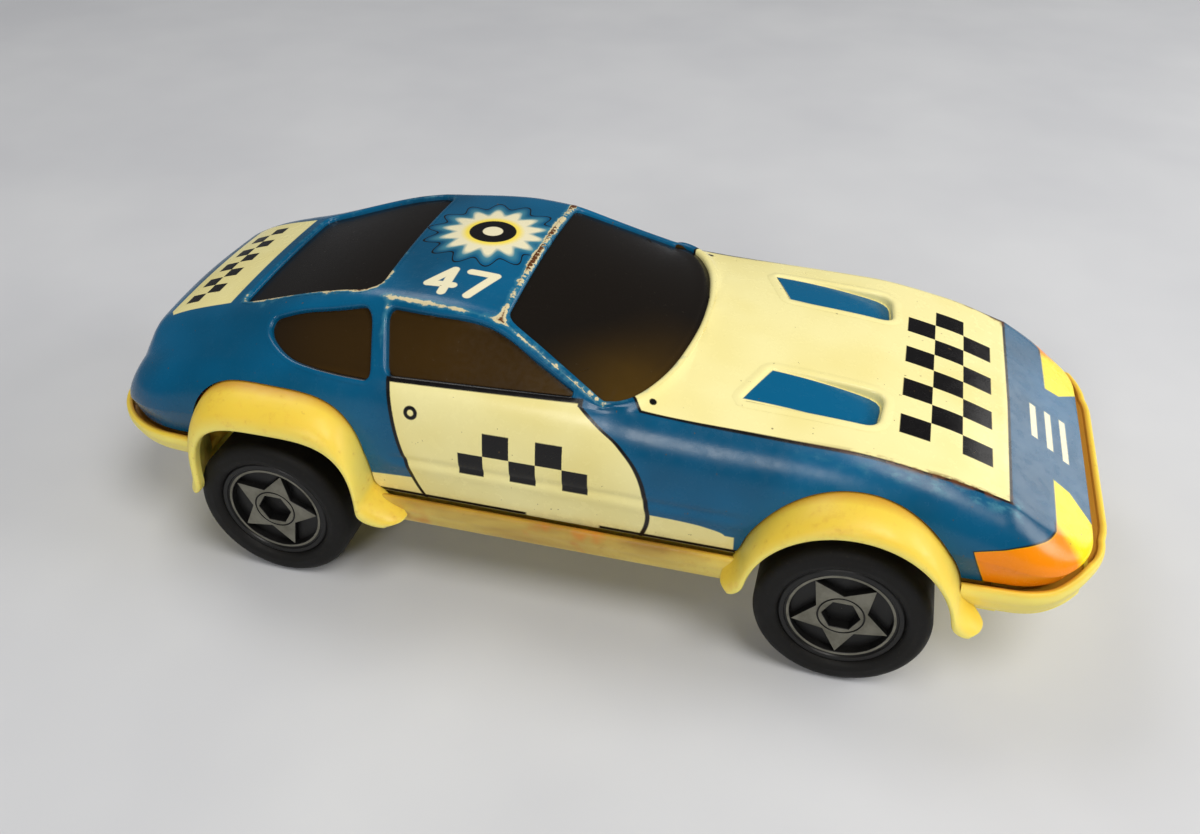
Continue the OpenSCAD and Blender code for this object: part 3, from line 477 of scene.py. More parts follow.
# Wheel flares: a curve is (place, half length, height, power); an arch is (opening, root, shoe, heel)
arch_foot_z, shoe_h, toe_h = 22, 7, 1
foot_round = 4.2
flare_root_y, foot_root_y = half_w - 3.6, half_w + 0.2
brow_r, lip_w = 0.8, 2.4
FRONT_OPEN = (x_front + 0.35, 21.6, 21.3, 2.0)
REAR_OPEN = (x_rear + 3.3, 19.7, 21.9, 3.5)
FRONT_ARCH = (FRONT_OPEN, (FRONT_OPEN[0] - 0.4, FRONT_OPEN[1] + 2, 26.8, 2.07), 7, 4.5)
REAR_ARCH = (REAR_OPEN, (REAR_OPEN[0] - 0.85, REAR_OPEN[1] + 2.4, 29.3, 3.6), 12.5, 2.5)
well_gap = 3.7
WELLS = ((x_front, tyre_r + well_gap), (x_rear + 2.6, tyre_r + well_gap))


def arch_point(shape, grow, a):
    """Point of an arch curve at an angle, moved outward."""
    x, half, h, power = shape
    c, s = math.cos(a), max(0, math.sin(a))
    along = math.copysign(abs(c) ** (2 / power), c)
    return np.array([x + (half + grow) * along, arch_foot_z + (h + grow) * s ** (2 / power)])


def foot_share(z):
    """How much of a foot there is at a height: 1 at its toe and 0 above it."""
    return min(1, max(0, 1 - (z - arch_foot_z - toe_h) / shoe_h))


def root_at(arch, grow, a):
    """Where a flare leaves the tin, drawn out along the ground at its feet."""
    p = arch_point(arch[1], grow, a)
    return p + [(arch[2] if math.cos(a) > 0 else -arch[3]) * foot_share(p[1]) ** 2, 0]


def turns(steps):
    """Angles from one foot of an arch to the other, closer together at the feet."""
    return math.pi * (1 + np.cos(np.linspace(0, math.pi, steps))) / 2


def root_outline(arch, grow):
    """Closed outline of the cut in the tin for an arch."""
    x, half = arch[1][:2]
    return [root_at(arch, grow, a) for a in turns(121)] + [(x + half + grow, 0), (x - half - grow, 0)]


# Materials


def colour(r, g, b):
    """Linear colour of an sRGB one given from 0 to 255."""
    def lin(v):
        v /= 255
        return v / 12.92 if v <= 0.04045 else ((v + 0.055) / 1.055) ** 2.4
    return (lin(r), lin(g), lin(b), 1)


class Field:
    """A number at each point of a surface, carried by a node socket."""

    def __init__(self, socket):
        self.socket = socket
        self.tree = socket.node.id_data

    def __add__(self, other):
        return calc("ADD", self, other)

    def __sub__(self, other):
        return calc("SUBTRACT", self, other)

    def __rsub__(self, other):
        return calc("SUBTRACT", other, self)

    def __mul__(self, other):
        return calc("MULTIPLY", self, other)

    def __abs__(self):
        return calc("ABSOLUTE", self)


def feed(socket, value):
    """Links a field or a socket to an input, or sets the input to a value."""
    if isinstance(value, Field):
        value = value.socket
    if isinstance(value, bpy.types.NodeSocket):
        socket.id_data.links.new(value, socket)
    else:
        socket.default_value = value


def calc(operation, *values):
    tree = next(v.tree for v in values if isinstance(v, Field))
    node = tree.nodes.new("ShaderNodeMath")
    node.operation = operation
    for socket, value in zip(node.inputs, values):
        feed(socket, value)
    return Field(node.outputs[0])


def least(*values):
    return reduce(lambda a, b: calc("MINIMUM", a, b), values)


def most(*values):
    return reduce(lambda a, b: calc("MAXIMUM", a, b), values)


def ramp(value, start, stop, low=0.0, high=1.0):
    """Maps start..stop to low..high and holds beyond."""
    node = value.tree.nodes.new("ShaderNodeMapRange")
    node.clamp = True
    for socket, item in zip(node.inputs, (value, start, stop, low, high)):
        feed(socket, item)
    return Field(node.outputs["Result"])


edge_soft = 0.12


def inside(distance, soft=edge_soft):
    """1 where a signed distance is negative, with a soft edge."""
    return ramp(distance, soft, -soft)


def length2(a, b):
    return calc("SQRT", a * a + b * b)


def through(value, pairs):
    """A smooth curve of a field through (place, value) pairs."""
    places, values = np.array(pairs, float).T
    node = value.tree.nodes.new("ShaderNodeFloatCurve")
    low, high = values.min() - 1, values.max() + 1
    span = places[-1] - places[0]
    points = node.mapping.curves[0].points
    while len(points) < len(places):
        points.new(0.5, 0.5)
    for point, p, v in zip(points, places, values):
        point.location = ((p - places[0]) / span, (v - low) / (high - low))
    node.mapping.update()
    feed(node.inputs["Value"], ramp(value, places[0], places[-1]))
    return Field(node.outputs["Value"]) * (high - low) + low


def segment(u, v, a, b):
    """Distance from the point (u, v) to a straight stroke from a to b."""
    a, b = np.array(a, float), np.array(b, float)
    d = b - a
    t = ramp((u - a[0]) * (d[0] / (d @ d)) + (v - a[1]) * (d[1] / (d @ d)), 0, 1)
    return length2(u - a[0] - t * d[0], v - a[1] - t * d[1])


def chequer(u, v, u0, u1, v0, v1, columns, rows):
    """Mask of the dark squares of a chequered band."""
    across = calc("SINE", (u - u0) * (math.pi * columns / (u1 - u0)))
    down = calc("SINE", (v - v0) * (math.pi * rows / (v1 - v0)))
    a, b = ramp(across, -0.03, 0.03), ramp(down, -0.03, 0.03)
    band = most(u0 - u, u - u1, v0 - v, v - v1) + 0.25
    return least(1.0 - a - b + a * b * 2.0, inside(band))


class Paint:
    """One material: its nodes, coordinates in millimetres and a growing colour."""

    def __init__(self, name):
        self.material = bpy.data.materials.new(name)
        self.material.use_nodes = True
        self.tree = self.material.node_tree
        self.shader = self.tree.nodes["Principled BSDF"]
        self.coordinates = self.node("TexCoord").outputs["Object"]
        self.x, self.y, self.z = [part * 1000.0 for part in self.parts(self.coordinates)]
        self.colour = None

    def node(self, kind, **inputs):
        """A new node with some inputs set or linked."""
        node = self.tree.nodes.new("ShaderNode" + kind)
        for name, value in inputs.items():
            feed(node.inputs[name], value)
        return node

    def parts(self, vector):
        return [Field(s) for s in self.node("SeparateXYZ", Vector=vector).outputs]

    def normal_part(self, k):
        return self.parts(self.node("NewGeometry").outputs["Normal"])[k]

    def attribute(self, name):
        node = self.node("Attribute")
        node.attribute_name = name
        return Field(node.outputs["Fac"])

    def noise(self, scale, detail=3.0, rough=0.55, stretch=None):
        """Noise from 0 to 1; scale is in waves to the millimetre."""
        source = self.coordinates
        if stretch:
            source = self.node("Mapping", Vector=source, Scale=stretch).outputs["Vector"]
        node = self.node("TexNoise", Vector=source, Scale=scale / MM, Detail=detail, Roughness=rough)
        return Field(node.outputs["Fac"])

    def blend(self, under, over, mask):
        node = self.node("Mix")
        node.data_type = "RGBA"
        for k, value in ((0, mask), (6, under), (7, over)):
            feed(node.inputs[k], value)
        return node.outputs[2]

    def lay(self, tint, mask=None):
        """Lays a colour over what is there, through a mask."""
        self.colour = tint if mask is None else self.blend(self.colour, tint, mask)

    def stamp(self, tint, distance, soft=edge_soft, where=None):
        """Prints a colour where a signed distance is negative, within a mask."""
        mask = inside(distance, soft)
        self.lay(tint, mask if where is None else least(mask, where))

    def bump(self, height, depth):
        """Fine relief; depth in millimetres."""
        node = self.node("Bump", Strength=1.0, Distance=depth * MM, Height=height)
        feed(self.shader.inputs["Normal"], node.outputs["Normal"])

    def done(self, **inputs):
        feed(self.shader.inputs["Base Color"], self.colour)
        for name, value in inputs.items():
            feed(self.shader.inputs[name.replace("_", " ")], value)
        return self.material


def half_planes(u, v, points):
    """Signed distance to a convex outline given counter-clockwise."""
    points = np.array(points, float)
    sides = []
    for a, b in zip(points, np.roll(points, -1, 0)):
        n = np.array([b[1] - a[1], a[0] - b[0]]) / np.linalg.norm(b - a)
        sides.append(u * n[0] + v * n[1] - float(n @ a))
    return most(*sides)


BLUE, BLUE_DEEP, BLUE_WORN = colour(3, 94, 136), colour(1, 77, 112), colour(74, 140, 158)
CREAM, CREAM_DULL = colour(250, 240, 172), colour(242, 228, 150)
# Black serves the print and the painted shade on the lower window lips
INK_AND_SHADE, WHITE = colour(14, 12, 12), colour(240, 232, 196)
YELLOW, ORANGE = colour(255, 228, 2), colour(248, 140, 4)
PRIMER, RUST, DIRT = colour(214, 200, 158), colour(96, 54, 24), colour(96, 74, 44)
# Glazing: smoke is its own tint; both ambers are painted light, through the side windows and glowing low
# on the windscreen
SMOKE, AMBER_THROUGH_LIGHT, AMBER_LIT = colour(24, 20, 16), colour(68, 47, 13), colour(88, 64, 18)
DUST, WHEEL_DUST = colour(96, 88, 70), colour(120, 108, 90)
# Base plastic: the pale tone is painted light on upright faces; the root, groove and dark sill tones are
# painted shade
BASE, BASE_LIT, BASE_AGED = colour(246, 210, 72), colour(252, 234, 122), colour(206, 140, 40)
ROOT_SHADE, GROOVE_SHADE = colour(196, 120, 30), colour(186, 112, 22)
SILL_STREAK, SILL_SHADE, SILL_ORANGE = colour(168, 122, 44), colour(126, 82, 26), colour(208, 118, 20)

# Print on the tin: where the sides begin and where the panels on top end
side_y, bonnet_low_z, boot_low_z, roof_low_z = 36, 44, 50, 66
# Edges of the door as (z, x), top of the sill band as (x, z), panels as (x, half width)
DOOR_REAR = [(27, -31.1), (32.2, -33.1), (36.9, -34.2), (43.7, -35.9), (50.8, -37.2), (57, -38.2)]
DOOR_FRONT = [(27, 19.4), (33, 21), (37.5, 20.6), (44, 19), (50.1, 14.5), (53.6, 9.8), (57, 4.8)]
front_slant = 0.85
SILL_TOP = [(-47, 32), (-34, 33), (0, 34), (21.6, 34.5), (28.2, 34.3), (34.8, 33.4), (38, 32)]
sill_rear, sill_front = -47, 40
BONNET_PANEL = [
    (15.2, -5), (94.3, -5), (93.8, 36), (78, 37), (50, 37.2), (30, 37.1), (17.4, 36.9), (15.2, 34.2)]
BOOT_PANEL = [(-102.8, -5), (-85.6, -5), (-85.6, 22.6), (-101.4, 23.8), (-102.8, 22)]
# Chequered bands: ends one way, ends the other way, columns and rows
BONNET_CHEQUER = (70, 90.4, -27.2, 27.2, 3, 8)
DOOR_CHEQUER = (-22, 8, 37.1, 49.1, 5, 2)
BOOT_CHEQUER = (-100.5, -92.5, -20, 20, 2, 10)
# Half widths of printed lines, the line along the lower edge with its gap, the door lock and a bonnet pin
door_ink, panel_ink = 0.45, 0.32
edge_z, edge_gap_x, edge_gap_half = 27.5, 1.5, 8.5
lock_x, lock_z, lock_r = -32.5, 50.9, 1.15
pin_x, pin_y, pin_r, pin_low_z = 19.4, 33.8, 0.8, 50
# Strokes of the number and the roundel on the roof, bars on the nose as (x, half length)
NUMBER = [
    ((-30.8, -24.2), (-30.8, -15.4)), ((-30.8, -15.4), (-35, -21.4)), ((-35, -21.4), (-29.2, -21.4)),
    ((-26.8, -15.4), (-21, -15.4)), ((-21, -15.4), (-24.8, -24.2)),
]
stroke_half, bar_half = 1.05, 0.75
badge_x, badge_y, badge_lobes = -28.5, 3.7, 14
NOSE_BARS = [(100.4, 6.4), (104.2, 7.2), (108, 8)]
# Upper edge of the lamps as (x, z)
LAMP_TOP = [(86, 39.6), (92.8, 41.4), (98.4, 42.3), (103.4, 41.9), (116, 41.6)]


def cream_paint(p):
    """Cream litho print, a little yellowed in patches."""
    return p.blend(CREAM, CREAM_DULL, ramp(p.noise(0.035, 2), 0.42, 0.7))


def printed_panels(p):
    """Panels, bands and marks printed on the tin, and painted shade in black on the lower window lips."""
    x, y, z = p.x, p.y, p.z
    wide = abs(y)
    on_side = inside(side_y - wide, 0.5)
    (xa, za), (xb, zb) = DOOR_BASE
    belt = (x - xa) * ((zb - za) / (xb - xa)) + (za - LIP_R)
    door = most(through(z, DOOR_REAR) - x, (x - through(z, DOOR_FRONT)) * front_slant, z - belt)
    sill = most(z - through(x, SILL_TOP), sill_rear - x, x - sill_front)
    panel = most(half_planes(x, wide, BONNET_PANEL), bonnet_low_z - z)
    boot = most(half_planes(x, wide, BOOT_PANEL), boot_low_z - z)
    on_top = most(inside(panel), inside(boot))
    p.lay(cream_paint(p), most(least(most(inside(door), inside(sill)), on_side), on_top))
    edge_gap = inside(abs(x - edge_gap_x) - edge_gap_half, 1.0)
    edge_line = most(abs(z - edge_z) - door_ink, edge_gap - 0.5)
    p.lay(INK_AND_SHADE, least(most(inside(abs(door) - door_ink), inside(edge_line)), on_side))
    # Painted shade: black on the inner face of the rolled lips along the lower edges of the side windows
    p.lay(INK_AND_SHADE, p.attribute("lip_shade"))
    p.stamp(INK_AND_SHADE, abs(panel) - panel_ink)
    # The bonnet panel is rubbed along the front of its sides
    edge = ramp(x, 46.0, 78.0) * inside(34.0 - wide, 1.0)
    rub = p.noise(0.55, 4, 0.6, (0.5, 1, 1))
    p.lay(BLUE_WORN, inside(abs(panel - 1.6) - 0.9, 0.9) * edge * ramp(rub, 0.46, 0.62) * 0.7)
    p.lay(RUST, inside(abs(panel + 0.1) - 0.55, 0.5) * edge * ramp(rub, 0.42, 0.54))
    p.stamp(BLUE, half_planes(x, wide, VENT_PRINT))
    p.lay(INK_AND_SHADE, chequer(x, y, *BONNET_CHEQUER))
    p.lay(INK_AND_SHADE, least(chequer(x, z, *DOOR_CHEQUER), on_side))
    p.lay(INK_AND_SHADE, least(chequer(x, y, *BOOT_CHEQUER), inside(boot_low_z - z)))
    p.stamp(INK_AND_SHADE, abs(length2(x - lock_x, z - lock_z) - lock_r) - door_ink, where=on_side)
    p.stamp(INK_AND_SHADE, most(length2(x - pin_x, wide - pin_y) - pin_r, pin_low_z - z))


def roof_marks(p):
    """A plain number and a plain roundel on the roof, three bars on the nose."""
    x, y, z = p.x, p.y, p.z
    top = inside(roof_low_z - z)
    strokes = least(*[segment(x, y, a, b) for a, b in NUMBER])
    p.stamp(WHITE, strokes - stroke_half, where=top)
    u, v = x - badge_x, y - badge_y
    reach = length2(u, v)
    lobes = calc("COSINE", calc("ARCTAN2", v, u) * badge_lobes)
    p.stamp(BLUE_WORN, reach - 12.4 - lobes * 1.6, 1.6, top)
    p.stamp(WHITE, reach - 10.6 - lobes * 1.5, 0.9, top)
    p.stamp(INK_AND_SHADE, abs(reach - 14.8 - lobes * 1.6) - 0.25, where=top)
    p.lay(YELLOW, least(inside(reach - 7.0, 0.8) * 0.8, top))
    p.stamp(INK_AND_SHADE, reach - 5.6, where=top)
    p.stamp(WHITE, reach - 2.4, where=top)
    for at, half in NOSE_BARS:
        p.stamp(WHITE, most(abs(x - at) - bar_half, abs(y) - half))


def lamps(p):
    """Yellow lamps on the nose with orange corners."""
    x, y, z = p.x, p.y, p.z
    wide = abs(y)
    # The rear edge leans with height, the inner edge is two straight runs
    rear_edge = (40.0 - z) * 0.4 + 88.2
    inner_edge = most((x - 105.2) * 0.2 + 18.0, (x - 108.0) * 1.2 + 18.6)
    lamp = most(z - through(x, LAMP_TOP), rear_edge - x, inner_edge - wide)
    corner = inside((x - 105.0) * 0.8 + 33.8 - wide, 1.6)
    p.stamp(INK_AND_SHADE, lamp - 0.3, where=corner)
    p.stamp(YELLOW, lamp)
    p.stamp(ORANGE, lamp, where=corner)


def tin_paint():
    """Printed tin, rubbed through along its edges and specked with dirt."""
    p = Paint("tin_paint")
    broad, fine, grain = p.noise(0.03, 2), p.noise(0.35, 5, 0.65), p.noise(1.6, 3)
    p.lay(BLUE_DEEP)
    p.lay(BLUE, ramp(broad, 0.38, 0.62))
    printed_panels(p)
    roof_marks(p)
    lamps(p)
    wear = p.attribute("wear") * ramp(p.noise(0.09, 2), 0.36, 0.64, 0.76, 1.12)
    p.lay(BLUE_WORN, ramp(wear + fine * 0.9, 0.95, 1.25) * 0.6)
    p.lay(PRIMER, ramp(wear + fine, 1.26, 1.34))
    p.lay(RUST, ramp(wear + grain * 0.5 + broad * 0.9, 1.7, 1.82))
    specks = ramp(p.noise(0.9, 2), 0.735, 0.76)
    p.lay(DIRT, specks * 0.7)
    # Darker brown in patches towards the lower edge of the tin
    low_darkening = ramp(p.z + fine * 6.0, 32.5, 28.0) * ramp(broad, 0.4, 0.7)
    p.lay(DIRT, low_darkening * 0.35)
    p.bump(fine, 0.02)
    return p.done(Roughness=ramp(fine, 0.3, 0.7, 0.18, 0.32), Specular_IOR_Level=0.3)


def glazing():
    """Dark tinted plastic, with amber painted light on the side windows and a painted glow low on the
    windscreen.
    """
    p = Paint("glazing")
    broad, fine = p.noise(0.05, 3), p.noise(0.8, 4)
    p.lay(SMOKE)
    # Painted light: amber on the side windows, as if lit through from the far side
    p.lay(AMBER_THROUGH_LIGHT, ramp(abs(p.normal_part(1)), 0.45, 0.85) * ramp(broad, 0.1, 0.7, 0.75, 1.0))
    # Painted glow: brighter amber low on the near side of the windscreen
    glow = ramp(p.z + p.x * 0.12, 65.0, 58.0) * ramp(p.x, -10.0, 12.0) * ramp(p.y, -2.0, -26.0)
    p.lay(AMBER_LIT, glow * ramp(broad, 0.2, 0.7, 0.6, 1.0))
    p.lay(DUST, ramp(fine, 0.7, 0.78) * 0.15)
    p.bump(broad, 0.02)
    return p.done(Roughness=ramp(fine, 0.3, 0.8, 0.16, 0.3), Specular_IOR_Level=0.16)


def base_plastic():
    """Aged yellow plastic: painted light on upright faces, painted shade in crevices, streaks and stains
    on the sills.
    """
    p = Paint("base_plastic")
    broad, fine = p.noise(0.025, 3), p.noise(0.5, 5, 0.6)
    p.lay(BASE)
    # Painted light: paler on upright and lower faces, while the tops keep the deeper yellow
    p.lay(BASE_LIT, ramp(p.normal_part(2) + broad * 0.6, 0.95, 0.35) * 0.85)
    p.lay(BASE_AGED, ramp(fine + broad, 1.12, 1.36) * 0.3)
    p.lay(DIRT, ramp(fine, 0.66, 0.76) * 0.2)
    wide = abs(p.y)
    # Painted shade: darker orange on the flare tops near the wheels, where they run in under the tin
    near_wheel = most(inside(abs(p.x - x_front) - 26.0, 2.0), inside(abs(p.x - x_rear) - 26.0, 2.0))
    root = near_wheel * ramp(wide, 45.2, 42.6) * ramp(p.z, 30.0, 33.0) * ramp(p.normal_part(2), 0.2, 0.7)
    p.lay(ROOT_SHADE, root * 0.6)
    # Painted shade: darker orange in the groove behind the lips of bumpers and sills
    p.lay(GROOVE_SHADE, p.attribute("groove") * 0.8)
    # Sills: streaky darker brown over most of the sill, fading out towards the bottom
    streak = ramp(p.noise(0.1, 3, 0.6, (0.3, 1, 1)), 0.34, 0.6, 0.55, 1.0)
    sill = p.attribute("sill") * inside(abs(p.x + 2.0) - 36.0, 10.0)
    p.lay(SILL_STREAK, sill * ramp(p.z, 12.0, 21.0) * streak * 0.8)
    # Painted shade: darker brown in a band at the top of the sill, under the tin edge
    p.lay(SILL_SHADE, sill * ramp(p.z, 23.4, 26.6) * streak * 0.8)
    p.lay(SILL_ORANGE, sill * ramp(p.noise(0.07, 3, 0.6), 0.56, 0.66) * 0.6)
    p.bump(fine, 0.03)
    return p.done(
        Roughness=ramp(fine, 0.3, 0.7, 0.36, 0.5), Specular_IOR_Level=0.45, Subsurface_Weight=0.2,
        Subsurface_Scale=0.003, Subsurface_Radius=(1.0, 0.7, 0.2))


def plain(name, tint, other, scale, rough, metal=0.0, stretch=None, dust=0.0, shine=0.5):
    """Mottled metal, rubber or plastic with fine relief."""
    p = Paint(name)
    body, fine = p.noise(scale, 4, 0.6, stretch), p.noise(scale * 6, 3)
    p.lay(colour(*tint))
    p.lay(colour(*other), ramp(body, 0.35, 0.68))
    if dust:
        p.lay(WHEEL_DUST, ramp(fine, 0.6, 0.76) * dust)
    p.bump(body + fine * 0.4, 0.02)
    spread_rough = ramp(body, 0.3, 0.7, rough - 0.08, rough + 0.1)
    return p.done(Metallic=metal, Roughness=spread_rough, Specular_IOR_Level=shine)


TIN = tin_paint()
GLASS = glazing()
PLASTIC = base_plastic()
RUBBER = plain("tyre", (11, 10, 9), (18, 17, 15), 0.2, 0.6, dust=0.05, shine=0.25)
HUB = plain("hub", (12, 12, 12), (20, 19, 18), 0.3, 0.42, dust=0.05, shine=0.35)
FOIL = plain("hub_foil", (120, 118, 106), (94, 92, 80), 0.25, 0.5, 0.25, dust=0.08)
STEEL = plain("steel", (176, 176, 176), (140, 138, 134), 0.3, 0.32, 1.0, (1, 0.1, 1))
PLATE = plain("plate_steel", (150, 154, 158), (118, 120, 122), 0.15, 0.4, 1.0)
IRON = plain("flywheel_iron", (92, 90, 88), (66, 60, 56), 0.4, 0.5, 0.9)
GEAR = plain("gear_plastic", (214, 184, 110), (190, 158, 84), 0.3, 0.45)
DARK = plain("dark_plastic", (48, 48, 50), (34, 34, 36), 0.3, 0.5)

# Tin shell: bead round the windscreen base, and how far the cutters of the openings reach
rim_h, rim_out, rim_w = 0.4, 1.4, 1.1
SIDE_CUT, ARCH_CUT, TOP_CUT, VENT_CUT = (20, 60), (30, 60), (50, 90), (45, 80)


def raise_rim(points):
    """Raises a bead in front of the windscreen base."""
    edge = dense(SCREEN_WINDOW, 0.5)
    edge = edge[edge[:, 0] > x_pillar + 1]
    near = (points[:, 2] > belt_z - 2) & (points[:, 0] > x_pillar + 1) & (points[:, 0] < x_screen + 12)
    at = points[near]
    gap = np.min(np.linalg.norm(at[:, None, :2] - edge[None], axis=2), axis=1)
    at[:, 2] += rim_h * np.exp(-((gap - rim_out) / rim_w) ** 2)
    points[near] = at
    return points


STATIONS = body_stations()
HALVES = [body_half(x) for x in STATIONS]
RING = 2 * len(HALVES[0]) - 1


def skin_grid():
    rings = []
    for x, half in zip(STATIONS, HALVES):
        ring = np.concatenate([half * [-1, 1], half[-2::-1]])
        rings.append(np.column_stack([np.full(len(ring), x), ring]))
    return raise_rim(np.array(rings).reshape(-1, 3))


SKIN = skin_grid()
SKIN_FACES = grid_faces(len(STATIONS), RING)
SKIN_TREE = BVHTree.FromPolygons(SKIN.tolist(), SKIN_FACES)


def cast(spots, axis, side=1):
    """Points and normals of the skin seen along an axis: y from one side, z from above."""
    found, normals = [], []
    for a, b in spots:
        if axis == "y":
            start, way = (a, side * 200, b), (0, -side, 0)
        else:
            start, way = (a, b, 200), (0, 0, -1)
        hit, normal, _, _ = SKIN_TREE.ray_cast(start, way)
        if hit is None:
            hit, normal, _, _ = SKIN_TREE.find_nearest((a, side * half_w, b))
        if normal.dot(Vector(way)) > 0:
            normal = -normal
        found.append(hit)
        normals.append(normal)
    return np.array(found, float), np.array(normals, float)


def smoothed(rows, times):
    for _ in range(times):
        rows = (np.roll(rows, 1, 0) + 2 * rows + np.roll(rows, -1, 0)) / 4
    return rows


def lip_strip(outline, axis, side=1):
    """The rolled edge of an opening: over the tin, round the turn and inward."""
    at, normal = cast(dense(grown(outline, LIP_R), 0.7), axis, side)
    normal = unit(smoothed(normal, 6))
    along = unit(np.roll(at, -1, 0) - np.roll(at, 1, 0))
    inward = unit(np.cross(normal, along))
    if np.sum(inward * (at.mean(0) - at)) < 0:
        inward = -inward
    inward = unit(smoothed(inward, 2))
    profile = [(-0.5, -0.04)]
    profile += [(LIP_R * math.sin(t), LIP_R * (1 - math.cos(t)) - 0.04) for t in angles(0, 90, 7)]
    profile += [(LIP_R, LIP_R + 0.5), (LIP_R, LIP_DEPTH)]
    rows = np.array([at + inward * a - normal * b for a, b in profile])
    # Painted shade: the inner face of the roll along the lower edges of the side windows, laid in black
    # by the tin paint
    low = np.clip((inward[:, 2] - 0.5) / 0.3, 0, 1) if axis == "y" else np.zeros(len(at))
    lip_shade = np.array([low * (a > 0.55 * LIP_R) for a, b in profile]).ravel()
    return rows.reshape(-1, 3), grid_faces(len(profile), len(at), close=True), lip_shade


def vent_tray(side):
    """A pressed vent: rolled edge with a wall, and a floor that dips towards the front."""
    outline = dense(VENT_EDGE, 0.6)
    rows = []
    for grow, drop in VENT_ROLL:
        ring = grown(outline, grow)
        rows.append([(x, y, max(bonnet_top(x, y) - drop, vent_floor(x, y) - 0.1)) for x, y in ring])
    wall = np.array(rows).reshape(-1, 3), grid_faces(len(rows), len(outline), close=True)
    floor, across, along = [], 41, 21
    for t in np.linspace(0, 1, across):
        back, front = mix(VENT_PLAN[3], VENT_PLAN[2], t), mix(VENT_PLAN[0], VENT_PLAN[1], t)
        spots = [mix(back, front, u) for u in np.linspace(-0.02, 1.02, along)]
        floor += [(x, y, vent_floor(x, y)) for x, y in spots]
    points, faces = join([wall, (floor, grid_faces(across, along))])
    return points * [1, side, 1], faces


def join(pieces):
    """One set of points and faces from several."""
    points, faces, base = [], [], 0
    for p, f in pieces:
        points.append(np.asarray(p, float))
        faces.extend([tuple(i + base for i in q) for q in f])
        base += len(p)
    return np.concatenate(points), faces


def both_sides(name, outline, low, high):
    return [prism(name, outline, low, high, "y"), prism(name, outline, -high, -low, "y")]


def shell_piece():
    """The pressed skin with windows, arches and vents cut out."""
    skin = make("tin_shell", SKIN, SKIN_FACES, [TIN])
    thicken(skin, tin_t)
    cutters = []
    for outline in (DOOR_WINDOW, QUARTER_WINDOW):
        cutters += both_sides("opening", grown(dense(outline, 1), LIP_R), *SIDE_CUT)
    for arch in (FRONT_ARCH, REAR_ARCH):
        cutters += both_sides("arch", root_outline(arch, 0.35), *ARCH_CUT)
    for outline in (SCREEN_WINDOW, BACK_WINDOW):
        cutters.append(prism("opening", grown(dense(outline, 1), LIP_R), *TOP_CUT, "z"))
    vent = grown(dense(VENT_EDGE, 0.6), 0.7)
    cutters += [prism("vent", vent * [1, side], *VENT_CUT, "z") for side in (1, -1)]
    carve(skin, cutters)
    shade(skin.data, 32)
    return skin


# Wear along the roof rails, less on the far one, then the header, the rims of the screens and the pillar
rail_wear, back_rail_wear, far_rail_less, header_wear = 0.95, 0.45, 0.2, 1.15
back_rim_wear, screen_rim_wear, far_rim_less, near_rim_y = 0.98, 0.66, 0.4, -18
pillar_wear_low, pillar_wear_high, pillar_low, pillar_high = 0.62, 0.98, 58, 70
wear_reach, wear_power = 1.6, 1.5


def feature_lines():
    """Edges of the pressing where the print has rubbed through, with a strength each."""
    grid = SKIN.reshape(len(STATIONS), RING, 3)
    out = []
    for i, x in enumerate(STATIONS):
        if x_back_low < x < x_pillar:
            strength = rail_wear if x > x_back_top + 1 else back_rail_wear
            out.append((grid[i, rail_row], strength))
            out.append((grid[i, RING - 1 - rail_row], strength - far_rail_less))
        if abs(x - x_header) < 0.01:
            out += [(p, header_wear) for p in grid[i, rail_row:RING - rail_row]]
    for outline, strength in ((BACK_WINDOW, back_rim_wear), (SCREEN_WINDOW, screen_rim_wear)):
        rim = cast(dense(grown(outline, 0.5 * LIP_R), 1.0), "z")[0]
        out += [(p, strength - (far_rim_less if p[1] > near_rim_y else 0)) for p in rim]
    for s in (-1, 1):
        spots = [(pillar_x - 0.4, z) for z in np.arange(pillar_low, pillar_high, 0.7)]
        for p in cast(spots, "y", s)[0]:
            share = (p[2] - pillar_low) / (pillar_high - pillar_low)
            out.append((p, mix(pillar_wear_low, pillar_wear_high, share)))
    return out


def mark_wear(pieces):
    """Stores how rubbed each point of the tin is."""
    lines = feature_lines()
    tree = KDTree(len(lines))
    for i, (at, _) in enumerate(lines):
        tree.insert(at, i)
    tree.balance()
    for piece in pieces:
        values = []
        for vertex in piece.data.vertices:
            near = tree.find_n(vertex.co / MM, 6)
            worn = [lines[i][1] * math.exp(-(gap / wear_reach) ** wear_power) for _, i, gap in near]
            values.append(max(worn))
        store(piece, "wear", values)


shell = place(shell_piece(), "car", "tin_paint", "body_shell")
LIPS = [lip_strip(o, "y", s) for o in (DOOR_WINDOW, QUARTER_WINDOW) for s in (-1, 1)]
LIPS += [lip_strip(o, "z") for o in (SCREEN_WINDOW, BACK_WINDOW)]
lips = make("window_lips", *join([lip[:2] for lip in LIPS]), [TIN], 60)
# Painted shade for the lower lips of the side windows, kept for the tin paint
store(lips, "lip_shade", np.concatenate([lip_shade for _, _, lip_shade in LIPS]))
place(lips, "car", "tin_paint")
vents = make("bonnet_vents", *join([vent_tray(1), vent_tray(-1)]), [TIN], 50)
place(vents, "car", "tin_paint")
mark_wear([shell, lips, vents])

# Glazing: how far it lies under the tin, and how far it laps behind the openings
glass_drop, side_drop, glass_t = 1.15, 0.7, 1.0
lap_rear, lap_front, lap_low = 3.5, 3, 2.6
POSTS = [(x_back_top + 14, 26), (x_pillar - 8, 29)]
post_r, post_gap, post_drop = 3, 0.05, 2.4
floor_z, base_t = 22.5, 2.0
floor_top = floor_z + base_t


